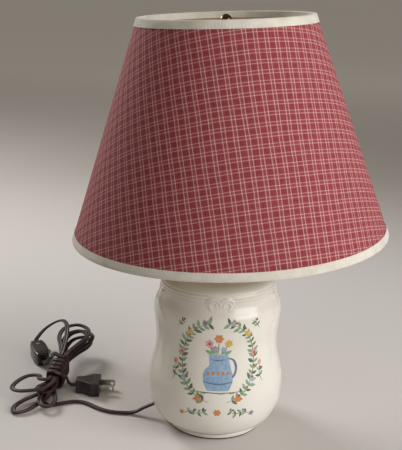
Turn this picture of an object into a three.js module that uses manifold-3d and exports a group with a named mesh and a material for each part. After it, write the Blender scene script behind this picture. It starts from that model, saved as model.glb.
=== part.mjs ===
// Table lamp with a glazed ceramic jar base, a checked cloth shade on a harp, and a brown
// twin cord with a line switch and a plug, wound in a hank beside the base.
// Millimetres, +Z up, front at -Y. The origin is on the table, under the middle of the foot.
import * as THREE from 'three';
import { mergeVertices } from 'three/addons/utils/BufferGeometryUtils.js';
import Module from 'manifold-3d';

const wasm = await Module();
wasm.setup();

// Fits and facets
const seatGap = 0.3;
const cutOverrun = 2;
const bodySteps = 36;
const shadeSteps = 45;
const turnedSteps = 18;
const smallSteps = 12;
const wireSides = 6;

// Ceramic body and its felt
const feltThickness = 1.5;
const feltRadius = 46;
const bodyHeight = 158.5;
const bellyRadius = 67.8;
const wallThickness = 5;
const footRadius = 47.4;
const footHeight = 4.6;
const footEdge = 1.2;
const footOpeningRadius = 38;
const rodHoleRadius = 6.5;
const bodyOutlinePoints = 20;
// Each pair is a share of the body's height and a share of the belly's radius.
const bodyOutlineShares = [
  [0.034, 0.680], [0.041, 0.738], [0.060, 0.820], [0.085, 0.877], [0.125, 0.930], [0.185, 0.977],
  [0.245, 0.995], [0.300, 1.000], [0.350, 0.990], [0.405, 0.962], [0.465, 0.925], [0.525, 0.898],
  [0.590, 0.884], [0.650, 0.889], [0.710, 0.907], [0.775, 0.918], [0.828, 0.905], [0.862, 0.868],
  [0.895, 0.847], [0.945, 0.840], [0.975, 0.815], [0.993, 0.740], [1.000, 0.640],
];
const wallShares = [0.11, 0.21, 0.35, 0.52, 0.70, 0.86];

// Turned rings round the shoulder, and the moulded lines: a double scroll and one at each side
const ringShares = [0.920, 0.9395, 0.960];
const ringDepth = 0.6;
const ringWidth = 1.7;
const mouldedSides = 4;
const scrollLineRadius = 1.5;
const scrollLineSink = 0.5;
const scrollHeightShare = 0.888;
const scrollOffset = 9.6;
const scrollSteps = 6;
// Each row is a radius, then the first and the last angle of its arc.
const scrollArcs = [[9, 175, 15], [5, 190, -60]];
const sideLineRadius = 2.8;
const sideLineSink = 1.4;
const sideLineSteps = 8;
// Each row is an angle from the front and a share of the body's height.
const sideLineShares = [
  [66, 0.909], [73, 0.885], [70, 0.835], [60, 0.798], [55, 0.745], [56, 0.660], [60, 0.560],
  [58, 0.465], [56, 0.390],
];

// Cord hole and its bushing
const holeHeight = 15.5;
const holeDip = 28;
const bushingBoreRadius = 3.2;
const bushingBodyRadius = 4.7;
const bushingFlangeRadius = 6.6;
const bushingFlangeThickness = 1.6;
const bushingSeatDepth = 1.9;
const bushingTailLength = 2.2;

// Threaded rod, its fastening inside the body, and the brass stack on the crown
const rodRadius = 4.86;
const rodBoreRadius = 3.45;
const rodBelowCrown = 17;
const rodIntoSocket = 6;
const rodClearance = 0.34;
const washerRadius = 14;
const washerThickness = 1.5;
const lockWasherRadius = 8;
const lockWasherThickness = 1.4;
const nutAcrossFlats = 14.3;
const nutThickness = 4.8;
const capRadius = 24;
const capHeight = 7.2;
const capSheet = 1;
const capTopRadius = 9;
const neckHeight = 7.8;
const neckEndRadius = 9;
const neckWaistRadius = 6.9;

// Harp: saddle, sleeves, bow and stud
const saddleSheet = 1.2;
const saddlePlateRadius = 10;
const saddleArmWidth = 5.6;
const saddleHalfSpan = 23.5;
const saddleArmHeight = 16;
const saddleBendRadius = 3;
const harpHeight = 215.9;
const harpHalfWidth = 57;
const harpWireRadius = 1.5;
const harpTopRadius = 16;
const harpTopFlat = 20;
const harpTopShare = 0.93;
const harpWidestShare = 0.42;
const harpFootShare = 0.175;
const harpEyeRadius = 9;
const harpEyeThickness = 1.6;
const harpEyeHoleRadius = 2.6;
const harpSteps = 30;
const sleeveRadius = 4.3;
const sleeveWall = 0.7;
const sleeveLength = 20;
const sleeveFoot = 7;
const studShankRadius = 2.1;
const studFlangeRadius = 6;
const studFlangeThickness = 2;
const studFlangeGap = 0.6;
const studHeadRadius = 3.6;
const studHeadThickness = 1.3;
const studThreadRadius = 3.15;
const studThreadLength = 7.5;

// Shade, leaning in degrees about the seat on the stud
const shadeLean = 2.9;
const shadeHeight = 204.3;
const shadeTopRadius = 82.2;
const shadeBottomRadius = 151.9;
const clothThickness = 0.6;
const liningThickness = 0.5;
const tapeThickness = 0.4;
const tapeWidth = 6.5;
const tapeReturn = 5.4;
const ringWireRadius = 1.5;
const ringSides = 6;
const spiderRecess = 12;
const spiderWasherRadius = 11;
const spiderWasherThickness = 1.4;
const spiderArmCount = 3;
const spiderArmStart = 8.5;
const spiderArmRise = 16;
const spiderArmSteps = 8;
const finialHeight = 14.5;
const finialHubRadius = 5.2;
const finialBoreDepth = 7;
const finialShares = [
  [0, 1], [0.14, 1], [0.18, 0.84], [0.30, 0.84], [0.38, 1], [0.56, 1.1], [0.74, 1.04], [0.88, 0.76],
  [0.96, 0.42],
];

// Lamp socket
const socketCapHeight = 20;
const socketCapRadius = 17.8;
const socketCapSheet = 0.8;
const socketCollarRadius = 8;
const socketCollarHeight = 6.4;
const socketConeHeight = 11.2;
const socketConeRadius = 16.2;
const socketHeight = 60;
const socketShellRadius = 16.6;
const socketShellSheet = 0.7;
const socketShellStart = 14.6;
const socketLipThickness = 0.9;
const linerSheet = 0.5;
const linerStart = 15.2;
const socketBodyRadius = 14.5;
const socketBodyStart = 11.9;
const socketBodyTop = 26;
const screwShellRadius = 14.2;
const screwShellSheet = 0.5;
const screwShellTop = 54;
const contactRadius = 4.5;
const contactThickness = 1;
const setScrewRadius = 1.4;
const setScrewHeadRadius = 2.5;
const setScrewHeadThickness = 1.6;
const terminalRadius = 1.7;
const terminalHeadRadius = 3.1;
const terminalHeadThickness = 1.2;
const terminalRecess = 2.6;
const terminalDepth = 5;

// Bulb
const bulbLength = 108;
const bulbRadius = 30;
const bulbGlass = 0.8;
const bulbCapRadius = 13.2;
const bulbCapSheet = 0.5;
const bulbCapLength = 25;
const bulbContactRadius = 4.6;
const bulbContactThickness = 1.9;
const bulbOutlineShares = [
  [0.222, 0.403], [0.300, 0.430], [0.380, 0.560], [0.460, 0.750], [0.540, 0.905], [0.667, 1.000],
  [0.780, 0.945], [0.870, 0.785], [0.950, 0.490],
];

// Twin cord
const cordWidth = 5.3;
const cordThickness = 2.7;
const cordSides = 8;
const cordStep = 11;

// Hank: two columns of the cord side by side, layer on layer, bent into lobes at both ends
const hankCentre = [-172, 66];
const hankHeading = 80;
const hankSlope = 0.287;
const hankColumnGap = 0.5;
const hankLayerGap = 0.65;
const hankWaist = 19;
const hankLoops = 4;
const loopSteps = 24;
const loopSides = 6;
const lobeFill = 16 / (3 * Math.sqrt(3));
const upperLobeLength = 92;
const lowerLobeLength = 81;
const lobeBendLength = 26;
const lowerFollowShare = 0.1;
// Each row is shares of the lobe's length, then of its length as half width, a bend in degrees,
// and the height of the tip as a share of the lobe's length.
const upperLobeShares = [
  [0.93, 0.120, -4, 0.24], [1.00, 0.150, -1, 0.29], [0.90, 0.125, 2, 0.335], [0.97, 0.165, 6, 0.385],
];
const lowerLobeShares = [
  [0.605, 0.045, 8, 0.0172], [0.99, 0.095, -26, 0.028], [0.82, 0.080, 17, 0.088],
  [0.54, 0.090, -17, 0.147], [0.78, 0.240, -100, 0.175],
];

// Wrap round the hank's waist
const wrapTurns = 4;
const wrapGap = 0.7;
const wrapCorner = 3.4;
const wrapPitch = 6.1;
const wrapCornerSteps = 4;
const wrapParting = 2.2;

// Line switch
const switchLength = 42;
const switchWidth = 19;
const switchHeight = 15;
const switchEndShare = 0.62;
const switchEdge = 2.2;
const switchPlace = [-204.5, 134.5];
const switchHeading = -68.8;
const switchWheelRadius = 8;
const switchWheelThickness = 3.4;
const switchWheelOffset = 4.4;
const switchWheelTeeth = 28;
const switchWheelTooth = 0.35;
const switchPinRadius = 1.3;
const switchPinLength = 10;
const switchRunGap = 0.35;
const switchScrewOffset = -11.5;
const switchScrewRadius = 1.5;
const switchScrewHeadRadius = 2.8;
const switchScrewHeadThickness = 1.8;
const switchNutRadius = 3.1;
const switchNutThickness = 2.2;
const switchCordDepth = 5.5;

// Plug
const plugLength = 26;
const plugWidth = 27;
const plugHeight = 15;
const plugTailWidthShare = 0.42;
const plugTaperShare = 0.45;
const plugEdge = 2;
const plugPlace = [-124, 52];
const bladeLength = 16;
const bladeThickness = 1.5;
const bladeWidths = [6.35, 7.9];
const bladeSpacing = 12.7;
const bladeHoleRadius = 1.6;
const bladeHoleFromTip = 3.4;
const bladeRoot = 7;
const bladeTipShare = 0.22;

// Free stretches of the cord: places on and above the table, chosen by eye
const leadRoute = [
  [-73, 0.6, 8.4], [-80, 1.2, 4.0], [-88, 1.8, 1.6], [-97, 2, 1.4], [-106, 3, 1.4], [-115, 6.5, 1.4],
  [-124, 12.5, 1.4], [-132, 19, 1.4], [-140, 23.5, 1.4], [-149, 24, 1.4], [-157, 21, 1.4],
];
const toSwitchRoute = [
  [-169.6, 104, 33.8], [-170, 120, 38.8], [-172, 135, 41.5], [-176.5, 149, 41.5],
  [-183.5, 161, 38], [-193, 168.5, 31.5], [-203.5, 170, 23.5], [-211.5, 165.5, 15], [-215, 161, 9],
];
const fromSwitchRoute = [
  [-193.6, 106, 8.2], [-190.6, 98, 11], [-187.6, 90.5, 16], [-184.6, 84.6, 22], [-181, 80.6, 27],
];
const plugTailRoute = [[-160.2, 49.4, 17.8], [-158.6, 49.8, 12.6], [-157, 51.2, 8.7]];
// Inside the body, each pair is a share of the belly's radius and one of the rod's low end.
const innerRouteShares = [
  [-0.649, 0.175], [-0.531, 0.280], [-0.369, 0.490], [-0.177, 0.734], [-0.044, 0.895], [0, 0.979],
];

const degree = Math.PI / 180;
const finishes = {
  glaze: { color: 0xe9e0cc, roughness: 0.18, metalness: 0 },
  felt: { color: 0x3b2b22, roughness: 0.95, metalness: 0 },
  brass: { color: 0xb08d4a, roughness: 0.35, metalness: 0.9 },
  darkBrass: { color: 0x5a4028, roughness: 0.3, metalness: 0.8 },
  steel: { color: 0x9c9c98, roughness: 0.4, metalness: 0.85 },
  whiteSteel: { color: 0xe8e4da, roughness: 0.5, metalness: 0.2 },
  cloth: { color: 0x8f3038, roughness: 0.9, metalness: 0 },
  lining: { color: 0xefe6cf, roughness: 0.7, metalness: 0 },
  tape: { color: 0xe6dcc8, roughness: 0.85, metalness: 0 },
  glass: { color: 0xf2f2ee, roughness: 0.25, metalness: 0 },
  board: { color: 0x6b5a48, roughness: 0.9, metalness: 0 },
  phenolic: { color: 0x2a2522, roughness: 0.5, metalness: 0 },
  cord: { color: 0x33231f, roughness: 0.45, metalness: 0 },
  black: { color: 0x1c1819, roughness: 0.35, metalness: 0 },
  nickel: { color: 0xc2bfb6, roughness: 0.3, metalness: 0.9 },
};

// Building helpers
function piece(name, geometry, finish) {
  const mesh = new THREE.Mesh(geometry, new THREE.MeshStandardMaterial(finishes[finish]));
  mesh.name = name;
  return mesh;
}

function toSolid(geometry) {
  const bare = geometry.clone();
  bare.deleteAttribute('normal');
  bare.deleteAttribute('uv');
  const merged = mergeVertices(bare);
  const vertProperties = new Float32Array(merged.attributes.position.array);
  const triVerts = new Uint32Array(merged.index.array);
  return new wasm.Manifold(new wasm.Mesh({ numProp: 3, vertProperties, triVerts }));
}

function toGeometry(solid) {
  const mesh = solid.getMesh();
  const geometry = new THREE.BufferGeometry();
  geometry.setAttribute('position', new THREE.BufferAttribute(mesh.vertProperties, 3));
  geometry.setIndex(new THREE.BufferAttribute(mesh.triVerts, 1));
  geometry.computeVertexNormals();
  return geometry;
}

function join(...shapes) {
  return toGeometry(shapes.map(toSolid).reduce((whole, next) => whole.add(next)));
}

function cut(shape, ...tools) {
  return toGeometry(tools.map(toSolid).reduce((whole, tool) => whole.subtract(tool), toSolid(shape)));
}

// A revolve about Z. The outline runs up its outer side; one that leaves the axis is closed.
function turned(outline, steps) {
  const points = outline.map(([radius, height]) => new THREE.Vector2(radius, height));
  const onAxis = outline[0][0] === 0;
  const ring = onAxis ? points : [...points, points[0].clone()];
  return new THREE.LatheGeometry(ring, steps).rotateX(Math.PI / 2);
}

function tubeOutline(outer, inner, low, high) {
  return [[inner, low], [outer, low], [outer, high], [inner, high]];
}

function rodOutline(radius, low, high) {
  return [[0, low], [radius, low], [radius, high], [0, high]];
}

function block(length, width, height) {
  return new THREE.BoxGeometry(length, width, height);
}

function extruded(shape, depth, options = {}) {
  return new THREE.ExtrudeGeometry(shape, { depth, bevelEnabled: false, ...options });
}

function polygonShape(points) {
  return new THREE.Shape(points.map(([x, y]) => new THREE.Vector2(x, y)));
}

function circleShape(radius, sides) {
  const corners = Array.from({ length: sides }, (_, i) => {
    const angle = 2 * Math.PI * (i + 0.5) / sides;
    return [radius * Math.cos(angle), radius * Math.sin(angle)];
  });
  return polygonShape(corners);
}

function smooth(share) {
  const inside = THREE.MathUtils.clamp(share, 0, 1);
  return inside * inside * (3 - 2 * inside);
}

function wireAlong(points, radius, sides, steps) {
  const path = new THREE.CatmullRomCurve3(points, false, 'centripetal');
  const options = { steps, extrudePath: path, bevelEnabled: false };
  return new THREE.ExtrudeGeometry(circleShape(radius, sides), options);
}

// Ceramic body
const footBottom = feltThickness;
const crownHeight = feltThickness + bodyHeight;
const bodyOutline = new THREE.SplineCurve(bodyOutlineShares.map(([height, radius]) => (
  new THREE.Vector2(radius * bellyRadius, footBottom + height * bodyHeight)
))).getPoints(bodyOutlinePoints);

function bodyRadiusAt(height) {
  const above = bodyOutline.findIndex((point) => point.y >= height);
  const high = bodyOutline[Math.max(above, 1)];
  const low = bodyOutline[Math.max(above, 1) - 1];
  return THREE.MathUtils.mapLinear(height, low.y, high.y, low.x, high.x);
}

// The wall's outline from the foot up, with the turned rings in it
function ringedWall() {
  const rings = ringShares.map((share) => footBottom + share * bodyHeight);
  const plain = bodyOutline.map((point) => [point.x, point.y])
    .filter(([, height]) => rings.every((ring) => Math.abs(height - ring) > ringWidth));
  const grooves = rings.flatMap((ring) => [-ringWidth / 2, 0, ringWidth / 2].map((step) => (
    [bodyRadiusAt(ring + step) - (step === 0 ? ringDepth : 0), ring + step]
  )));
  return [...plain, ...grooves].sort((one, other) => one[1] - other[1]);
}

// A place on the wall, given across from the front's middle along the wall, and sunk into it
function onWall(across, height, sink) {
  const wall = bodyRadiusAt(height);
  const angle = -Math.PI / 2 + across / wall;
  return new THREE.Vector3((wall - sink) * Math.cos(angle), (wall - sink) * Math.sin(angle), height);
}

function scrollLine(side, radius, first, last) {
  const middle = footBottom + scrollHeightShare * bodyHeight;
  const points = Array.from({ length: scrollSteps + 1 }, (_, i) => {
    const angle = THREE.MathUtils.lerp(first, last, i / scrollSteps) * degree;
    const across = side * (scrollOffset + radius * Math.cos(angle));
    return onWall(across, middle + radius * Math.sin(angle), scrollLineSink);
  });
  return wireAlong(points, scrollLineRadius, mouldedSides, scrollSteps);
}

function sideLine(side) {
  const points = sideLineShares.map(([angle, share]) => {
    const height = footBottom + share * bodyHeight;
    return onWall(side * angle * degree * bodyRadiusAt(height), height, sideLineSink);
  });
  return wireAlong(points, sideLineRadius, mouldedSides, sideLineSteps);
}

function mouldedLines() {
  return [-1, 1].flatMap((side) => [
    sideLine(side), ...scrollArcs.map(([radius, first, last]) => scrollLine(side, radius, first, last)),
  ]);
}

// The cord hole's own frame: X runs out of the wall and dips towards the table.
const holeMatrix = new THREE.Matrix4().makeTranslation(-bodyRadiusAt(holeHeight), 0, holeHeight)
  .multiply(new THREE.Matrix4().makeRotationZ(Math.PI))
  .multiply(new THREE.Matrix4().makeRotationY(holeDip * degree));

function alongHole(outline, steps) {
  return turned(outline, steps).rotateY(Math.PI / 2).applyMatrix4(holeMatrix);
}

function ceramicBase() {
  const inner = wallShares.map((share) => {
    const height = footBottom + share * bodyHeight;
    return [bodyRadiusAt(height) - wallThickness, height];
  }).reverse();
  const groove = bodyOutline[0];
  const outline = [
    [footOpeningRadius, footBottom], [footRadius - footEdge, footBottom],
    [footRadius, footBottom + footEdge], [footRadius, footBottom + footHeight - footEdge],
    [footRadius - footEdge, footBottom + footHeight],
    [groove.x - footEdge, footBottom + footHeight + footEdge / 2],
    ...ringedWall(),
    [rodHoleRadius, crownHeight], [rodHoleRadius, crownHeight - wallThickness],
    [bodyOutline.at(-1).x - wallThickness, crownHeight - wallThickness],
    ...inner,
    [footOpeningRadius, footBottom + footHeight + wallThickness],
  ];
  const reach = wallThickness * 3;
  const bore = bushingBodyRadius + seatGap;
  return cut(
    join(turned(outline, bodySteps), ...mouldedLines()),
    alongHole(rodOutline(bore, -reach, reach), smallSteps),
    alongHole(rodOutline(bushingFlangeRadius + seatGap, -bushingSeatDepth, reach), turnedSteps),
  );
}

function cordBushing() {
  const flangeLow = seatGap - bushingSeatDepth;
  const tailLow = -wallThickness - bushingSeatDepth - seatGap;
  return alongHole([
    [bushingBoreRadius, tailLow - bushingTailLength], [bushingBodyRadius, tailLow - bushingTailLength],
    [bushingBodyRadius, flangeLow], [bushingFlangeRadius, flangeLow],
    [bushingFlangeRadius, flangeLow + bushingFlangeThickness],
    [bushingBoreRadius, flangeLow + bushingFlangeThickness],
  ], turnedSteps);
}

// Brass stack and the rod that holds it on the crown
const crownUnderside = crownHeight - wallThickness;
const neckLow = crownHeight + capHeight;
const saddleLow = neckLow + neckHeight;
const socketLow = saddleLow + saddleSheet;
const rodHole = rodRadius + rodClearance;

function vaseCap() {
  const arcSteps = 5;
  const arc = (radius, height) => Array.from({ length: arcSteps + 1 }, (_, i) => {
    const angle = Math.PI / 2 * i / arcSteps;
    const across = capTopRadius + (radius - capTopRadius) * Math.cos(angle);
    return [across, crownHeight + height * Math.sin(angle)];
  });
  return turned([
    ...arc(capRadius, capHeight), [rodHole, neckLow], [rodHole, neckLow - capSheet],
    ...arc(capRadius - capSheet, capHeight - capSheet).reverse(),
  ], turnedSteps);
}

function brassNeck() {
  const bulge = (share) => neckLow + share * neckHeight;
  return turned([
    [rodHole, neckLow], [neckEndRadius, neckLow], [neckEndRadius, bulge(0.18)],
    [neckWaistRadius, bulge(0.36)], [neckWaistRadius, bulge(0.64)], [neckEndRadius, bulge(0.82)],
    [neckEndRadius, saddleLow], [rodHole, saddleLow],
  ], turnedSteps);
}

function hexNut() {
  const shape = circleShape(nutAcrossFlats / Math.sqrt(3), 6);
  const hole = new THREE.Path();
  hole.absarc(0, 0, rodHole, 0, 2 * Math.PI, true);
  shape.holes.push(hole);
  const low = crownUnderside - washerThickness - lockWasherThickness - nutThickness;
  return extruded(shape, nutThickness, { curveSegments: smallSteps }).translate(0, 0, low);
}

// A split ring: one turn with a narrow gap
function lockWasher() {
  const low = crownUnderside - washerThickness - lockWasherThickness;
  const ring = turned(tubeOutline(lockWasherRadius, rodHole, low, low + lockWasherThickness), turnedSteps);
  const slot = block(lockWasherRadius, lockWasherThickness, 3 * lockWasherThickness)
    .translate(lockWasherRadius - lockWasherThickness / 2, 0, low + lockWasherThickness / 2);
  return cut(ring, slot);
}

// Harp
const seatHeight = socketLow + harpHeight;
const eyeTop = seatHeight - studFlangeThickness - studFlangeGap;
const eyeMiddle = eyeTop - harpEyeThickness / 2;

function harpSaddle() {
  const bend = saddleBendRadius;
  const span = saddleHalfSpan + saddleSheet / 2;
  const armTop = saddleLow + saddleArmHeight;
  const shape = new THREE.Shape();
  shape.moveTo(-span, armTop);
  shape.lineTo(-span, saddleLow + bend);
  shape.absarc(-span + bend, saddleLow + bend, bend, Math.PI, 1.5 * Math.PI, false);
  shape.lineTo(span - bend, saddleLow);
  shape.absarc(span - bend, saddleLow + bend, bend, -Math.PI / 2, 0, false);
  shape.lineTo(span, armTop);
  shape.lineTo(span - saddleSheet, armTop);
  shape.lineTo(span - saddleSheet, saddleLow + bend);
  shape.absarc(span - bend, saddleLow + bend, bend - saddleSheet, 0, -Math.PI / 2, true);
  shape.lineTo(-span + bend, saddleLow + saddleSheet);
  shape.absarc(-span + bend, saddleLow + bend, bend - saddleSheet, -Math.PI / 2, -Math.PI, true);
  shape.lineTo(-span + saddleSheet, armTop);
  const strap = extruded(shape, saddleArmWidth, { curveSegments: 4 })
    .translate(0, 0, -saddleArmWidth / 2).rotateX(Math.PI / 2);
  const plate = turned(rodOutline(saddlePlateRadius, saddleLow, saddleLow + saddleSheet), turnedSteps);
  const hole = turned(rodOutline(rodHole, saddleLow - cutOverrun, saddleLow + cutOverrun), turnedSteps);
  return cut(join(strap, plate), hole);
}

function harpBow() {
  const foot = saddleLow + saddleArmHeight + seatGap;
  const at = (share) => foot + share * (eyeMiddle - foot);
  const side = [
    [saddleHalfSpan, foot], [saddleHalfSpan, at(0.06)], [saddleHalfSpan, at(0.12)],
    [THREE.MathUtils.lerp(saddleHalfSpan, harpHalfWidth, 0.2), at(harpFootShare)],
    [harpHalfWidth * 0.86, at(0.27)], [harpHalfWidth, at(harpWidestShare)],
    [harpHalfWidth * 0.95, at(0.62)], [harpHalfWidth * 0.72, at(0.82)],
    [harpTopFlat + harpTopRadius * 0.55, at(harpTopShare)],
    [harpTopFlat, at(0.985)], [harpTopFlat * 0.72, at(1)], [harpEyeRadius, at(1)],
  ];
  const place = ([x, z]) => new THREE.Vector3(x, 0, z);
  const mirrored = side.map(([x, z]) => [-x, z]);
  const points = [...mirrored.map(place), ...side.toReversed().map(place)];
  const bow = wireAlong(points, harpWireRadius, wireSides, harpSteps);
  const flat = harpEyeRadius - harpWireRadius;
  const eye = turned(rodOutline(harpEyeRadius, eyeTop - harpEyeThickness, eyeTop), turnedSteps);
  const span = harpWireRadius + cutOverrun;
  const flattening = turned(rodOutline(flat, eyeMiddle - span, eyeMiddle + span), turnedSteps);
  const hole = turned(rodOutline(harpEyeHoleRadius, eyeMiddle - span, eyeMiddle + span), turnedSteps);
  return cut(join(cut(bow, flattening), eye), hole);
}

function harpSleeve(side) {
  const low = socketLow + sleeveFoot;
  const outline = tubeOutline(sleeveRadius, sleeveRadius - sleeveWall, low, low + sleeveLength);
  return turned(outline, turnedSteps).translate(side * saddleHalfSpan, 0, 0);
}

// Socket
function socketCap() {
  const low = socketLow;
  const sheet = socketCapSheet;
  const bend = 2.6 * sheet;
  const cup = turned([
    [rodHole, low], [socketCollarRadius, low], [socketCollarRadius, low + socketCollarHeight],
    [socketConeRadius, low + socketConeHeight], [socketCapRadius, low + socketConeHeight + bend],
    [socketCapRadius, low + socketCapHeight], [socketCapRadius - sheet, low + socketCapHeight],
    [socketCapRadius - sheet, low + socketConeHeight + bend + sheet / 2],
    [socketConeRadius - sheet / 2, low + socketConeHeight + sheet],
    [socketCollarRadius - sheet / 2, low + socketCollarHeight + sheet],
    [rodHole, low + socketCollarHeight + sheet],
  ], turnedSteps);
  const reach = socketCollarRadius + cutOverrun;
  const hole = turned(rodOutline(setScrewRadius + seatGap, 0, reach), smallSteps)
    .rotateX(-Math.PI / 2).translate(0, 0, low + socketCollarHeight / 2);
  return cut(cup, hole);
}

function setScrew() {
  const tip = rodRadius + seatGap;
  const head = socketCollarRadius + seatGap;
  return turned([
    [0, tip], [setScrewRadius, tip], [setScrewRadius, head], [setScrewHeadRadius, head],
    [setScrewHeadRadius, head + setScrewHeadThickness], [0, head + setScrewHeadThickness],
  ], smallSteps).rotateX(-Math.PI / 2).translate(0, 0, socketLow + socketCollarHeight / 2);
}

function socketShell() {
  const outer = socketShellRadius;
  const inner = outer - socketShellSheet;
  const lip = screwShellRadius + seatGap;
  const top = socketLow + socketHeight;
  return turned([
    [inner, socketLow + socketShellStart], [outer, socketLow + socketShellStart], [outer, top],
    [lip, top], [lip, top - socketLipThickness], [inner, top - socketLipThickness],
  ], turnedSteps);
}

function socketLiner() {
  const outer = socketShellRadius - socketShellSheet - seatGap;
  const high = socketLow + socketHeight - socketLipThickness - seatGap;
  return turned(tubeOutline(outer, outer - linerSheet, socketLow + linerStart, high), turnedSteps);
}

const terminalHeight = (socketBodyStart + socketBodyTop) / 2;

function terminalPocket(side) {
  const bore = terminalRadius + seatGap;
  const depth = socketBodyRadius - terminalRecess;
  const pocket = turned([
    [0, depth - terminalDepth], [bore, depth - terminalDepth], [bore, depth],
    [terminalHeadRadius + seatGap, depth], [terminalHeadRadius + seatGap, socketBodyRadius + cutOverrun],
    [0, socketBodyRadius + cutOverrun],
  ], smallSteps);
  return pocket.rotateX(-side * Math.PI / 2).translate(0, 0, socketLow + terminalHeight);
}

function terminalScrew(side) {
  const seat = socketBodyRadius - terminalRecess + seatGap;
  return turned([
    [0, seat - terminalDepth], [terminalRadius, seat - terminalDepth], [terminalRadius, seat],
    [terminalHeadRadius, seat], [terminalHeadRadius, seat + terminalHeadThickness],
    [0, seat + terminalHeadThickness],
  ], smallSteps).rotateX(-side * Math.PI / 2).translate(0, 0, socketLow + terminalHeight);
}

function socketBody() {
  const low = socketLow + socketBodyStart;
  const high = socketLow + socketBodyTop;
  const body = turned(rodOutline(socketBodyRadius, low, high), turnedSteps);
  return cut(body, terminalPocket(1), terminalPocket(-1));
}

// Bulb
const bulbLow = socketLow + socketBodyTop + contactThickness + seatGap;
const bulbCapLow = bulbLow + bulbContactThickness;

function bulbCap() {
  const high = bulbLow + bulbCapLength + bulbContactThickness;
  const cone = 1.8 * bulbContactThickness;
  return turned([
    [0, bulbCapLow], [bulbContactRadius, bulbCapLow], [bulbCapRadius, bulbCapLow + cone],
    [bulbCapRadius, high], [bulbCapRadius - bulbCapSheet, high],
    [bulbCapRadius - bulbCapSheet, bulbCapLow + cone + bulbCapSheet],
    [bulbContactRadius, bulbCapLow + 2 * bulbCapSheet], [0, bulbCapLow + 2 * bulbCapSheet],
  ], turnedSteps);
}

function bulbGlassShell() {
  const shell = (inset) => bulbOutlineShares.map(([height, radius]) => (
    [radius * bulbRadius - inset, bulbLow + height * bulbLength]
  ));
  const top = bulbLow + bulbLength;
  const outer = new THREE.SplineCurve([...shell(0), [0, top]].map(([r, z]) => new THREE.Vector2(r, z)));
  const inner = new THREE.SplineCurve(
    [...shell(bulbGlass), [0, top - bulbGlass]].map(([r, z]) => new THREE.Vector2(r, z)),
  );
  const count = bulbOutlineShares.length;
  const upward = outer.getPoints(count).map((point) => [Math.max(point.x, 0), point.y]);
  const downward = inner.getPoints(count).map((point) => [Math.max(point.x, 0), point.y]).reverse();
  const points = [...upward, ...downward].map(([r, z]) => new THREE.Vector2(r, z));
  return new THREE.LatheGeometry([...points, points[0].clone()], turnedSteps).rotateX(Math.PI / 2);
}

// Shade, in the frame of the seat on the stud: Z is the shade's own axis
const slant = Math.atan((shadeBottomRadius - shadeTopRadius) / shadeHeight);
const washerLow = seatGap;
const ringHeight = washerLow + spiderWasherThickness / 2 + spiderRecess;
const rimTop = ringHeight + ringWireRadius;
const rimBottom = rimTop - shadeHeight;

function coneRadius(height, inset = 0) {
  const across = (rimTop - height) * Math.tan(slant);
  return shadeTopRadius + across - inset / Math.cos(slant);
}

function coneShell(inset, thickness) {
  return turned([
    [coneRadius(rimBottom, inset + thickness), rimBottom], [coneRadius(rimBottom, inset), rimBottom],
    [coneRadius(rimTop, inset), rimTop], [coneRadius(rimTop, inset + thickness), rimTop],
  ], shadeSteps);
}

const liningInset = clothThickness + seatGap;
const ringInset = liningInset + liningThickness + seatGap + ringWireRadius;
const topRingRadius = coneRadius(ringHeight, ringInset);
const bottomRingHeight = rimBottom + ringWireRadius;
const bottomRingRadius = coneRadius(bottomRingHeight, ringInset);

// Tape folded over a rim; the fold's outer leg is long and its inner leg short.
function tape(rim, ringRadius, upward) {
  const outside = -seatGap;
  const fold = rim + upward * seatGap;
  const crown = fold + upward * tapeThickness;
  const outerEnd = rim - upward * tapeWidth;
  const innerEnd = rim - upward * tapeReturn;
  const innerLeg = ringRadius - ringWireRadius - seatGap;
  const outline = [
    [coneRadius(outerEnd, outside), outerEnd],
    [coneRadius(outerEnd, outside - tapeThickness), outerEnd],
    [coneRadius(crown, outside - tapeThickness), crown], [innerLeg - tapeThickness, crown],
    [innerLeg - tapeThickness, innerEnd], [innerLeg, innerEnd], [innerLeg, fold],
    [coneRadius(fold, outside), fold],
  ];
  return turned(upward > 0 ? outline : outline.reverse(), shadeSteps);
}

function spiderArm(index, radius) {
  const angle = -Math.PI / 2 + 2 * Math.PI * index / spiderArmCount;
  const low = washerLow + spiderWasherThickness / 2;
  const foot = topRingRadius - spiderArmRise;
  const bow = [
    [spiderArmStart, low], [(spiderArmStart + foot) / 2, low], [foot, low],
    [foot + 0.45 * spiderArmRise, low + 0.12 * spiderRecess],
    [foot + 0.82 * spiderArmRise, low + 0.6 * spiderRecess], [topRingRadius, ringHeight],
  ];
  const points = bow.map(([r, z]) => new THREE.Vector3(r * Math.cos(angle), r * Math.sin(angle), z));
  return wireAlong(points, radius, ringSides, spiderArmSteps);
}

function topFrame() {
  const ring = new THREE.TorusGeometry(topRingRadius, ringWireRadius, ringSides, shadeSteps)
    .translate(0, 0, ringHeight);
  const hole = studThreadRadius + 2 * seatGap;
  const washer = turned(
    tubeOutline(spiderWasherRadius, hole, washerLow, washerLow + spiderWasherThickness), turnedSteps,
  );
  const arms = Array.from({ length: spiderArmCount }, (_, i) => spiderArm(i, ringWireRadius));
  return join(ring, washer, ...arms);
}

function topTape() {
  const notches = Array.from({ length: spiderArmCount }, (_, i) => (
    spiderArm(i, ringWireRadius + 1.5 * seatGap)
  ));
  return cut(tape(rimTop, topRingRadius, 1), ...notches);
}

function bottomRing() {
  return new THREE.TorusGeometry(bottomRingRadius, ringWireRadius, ringSides, shadeSteps)
    .translate(0, 0, bottomRingHeight);
}

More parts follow.
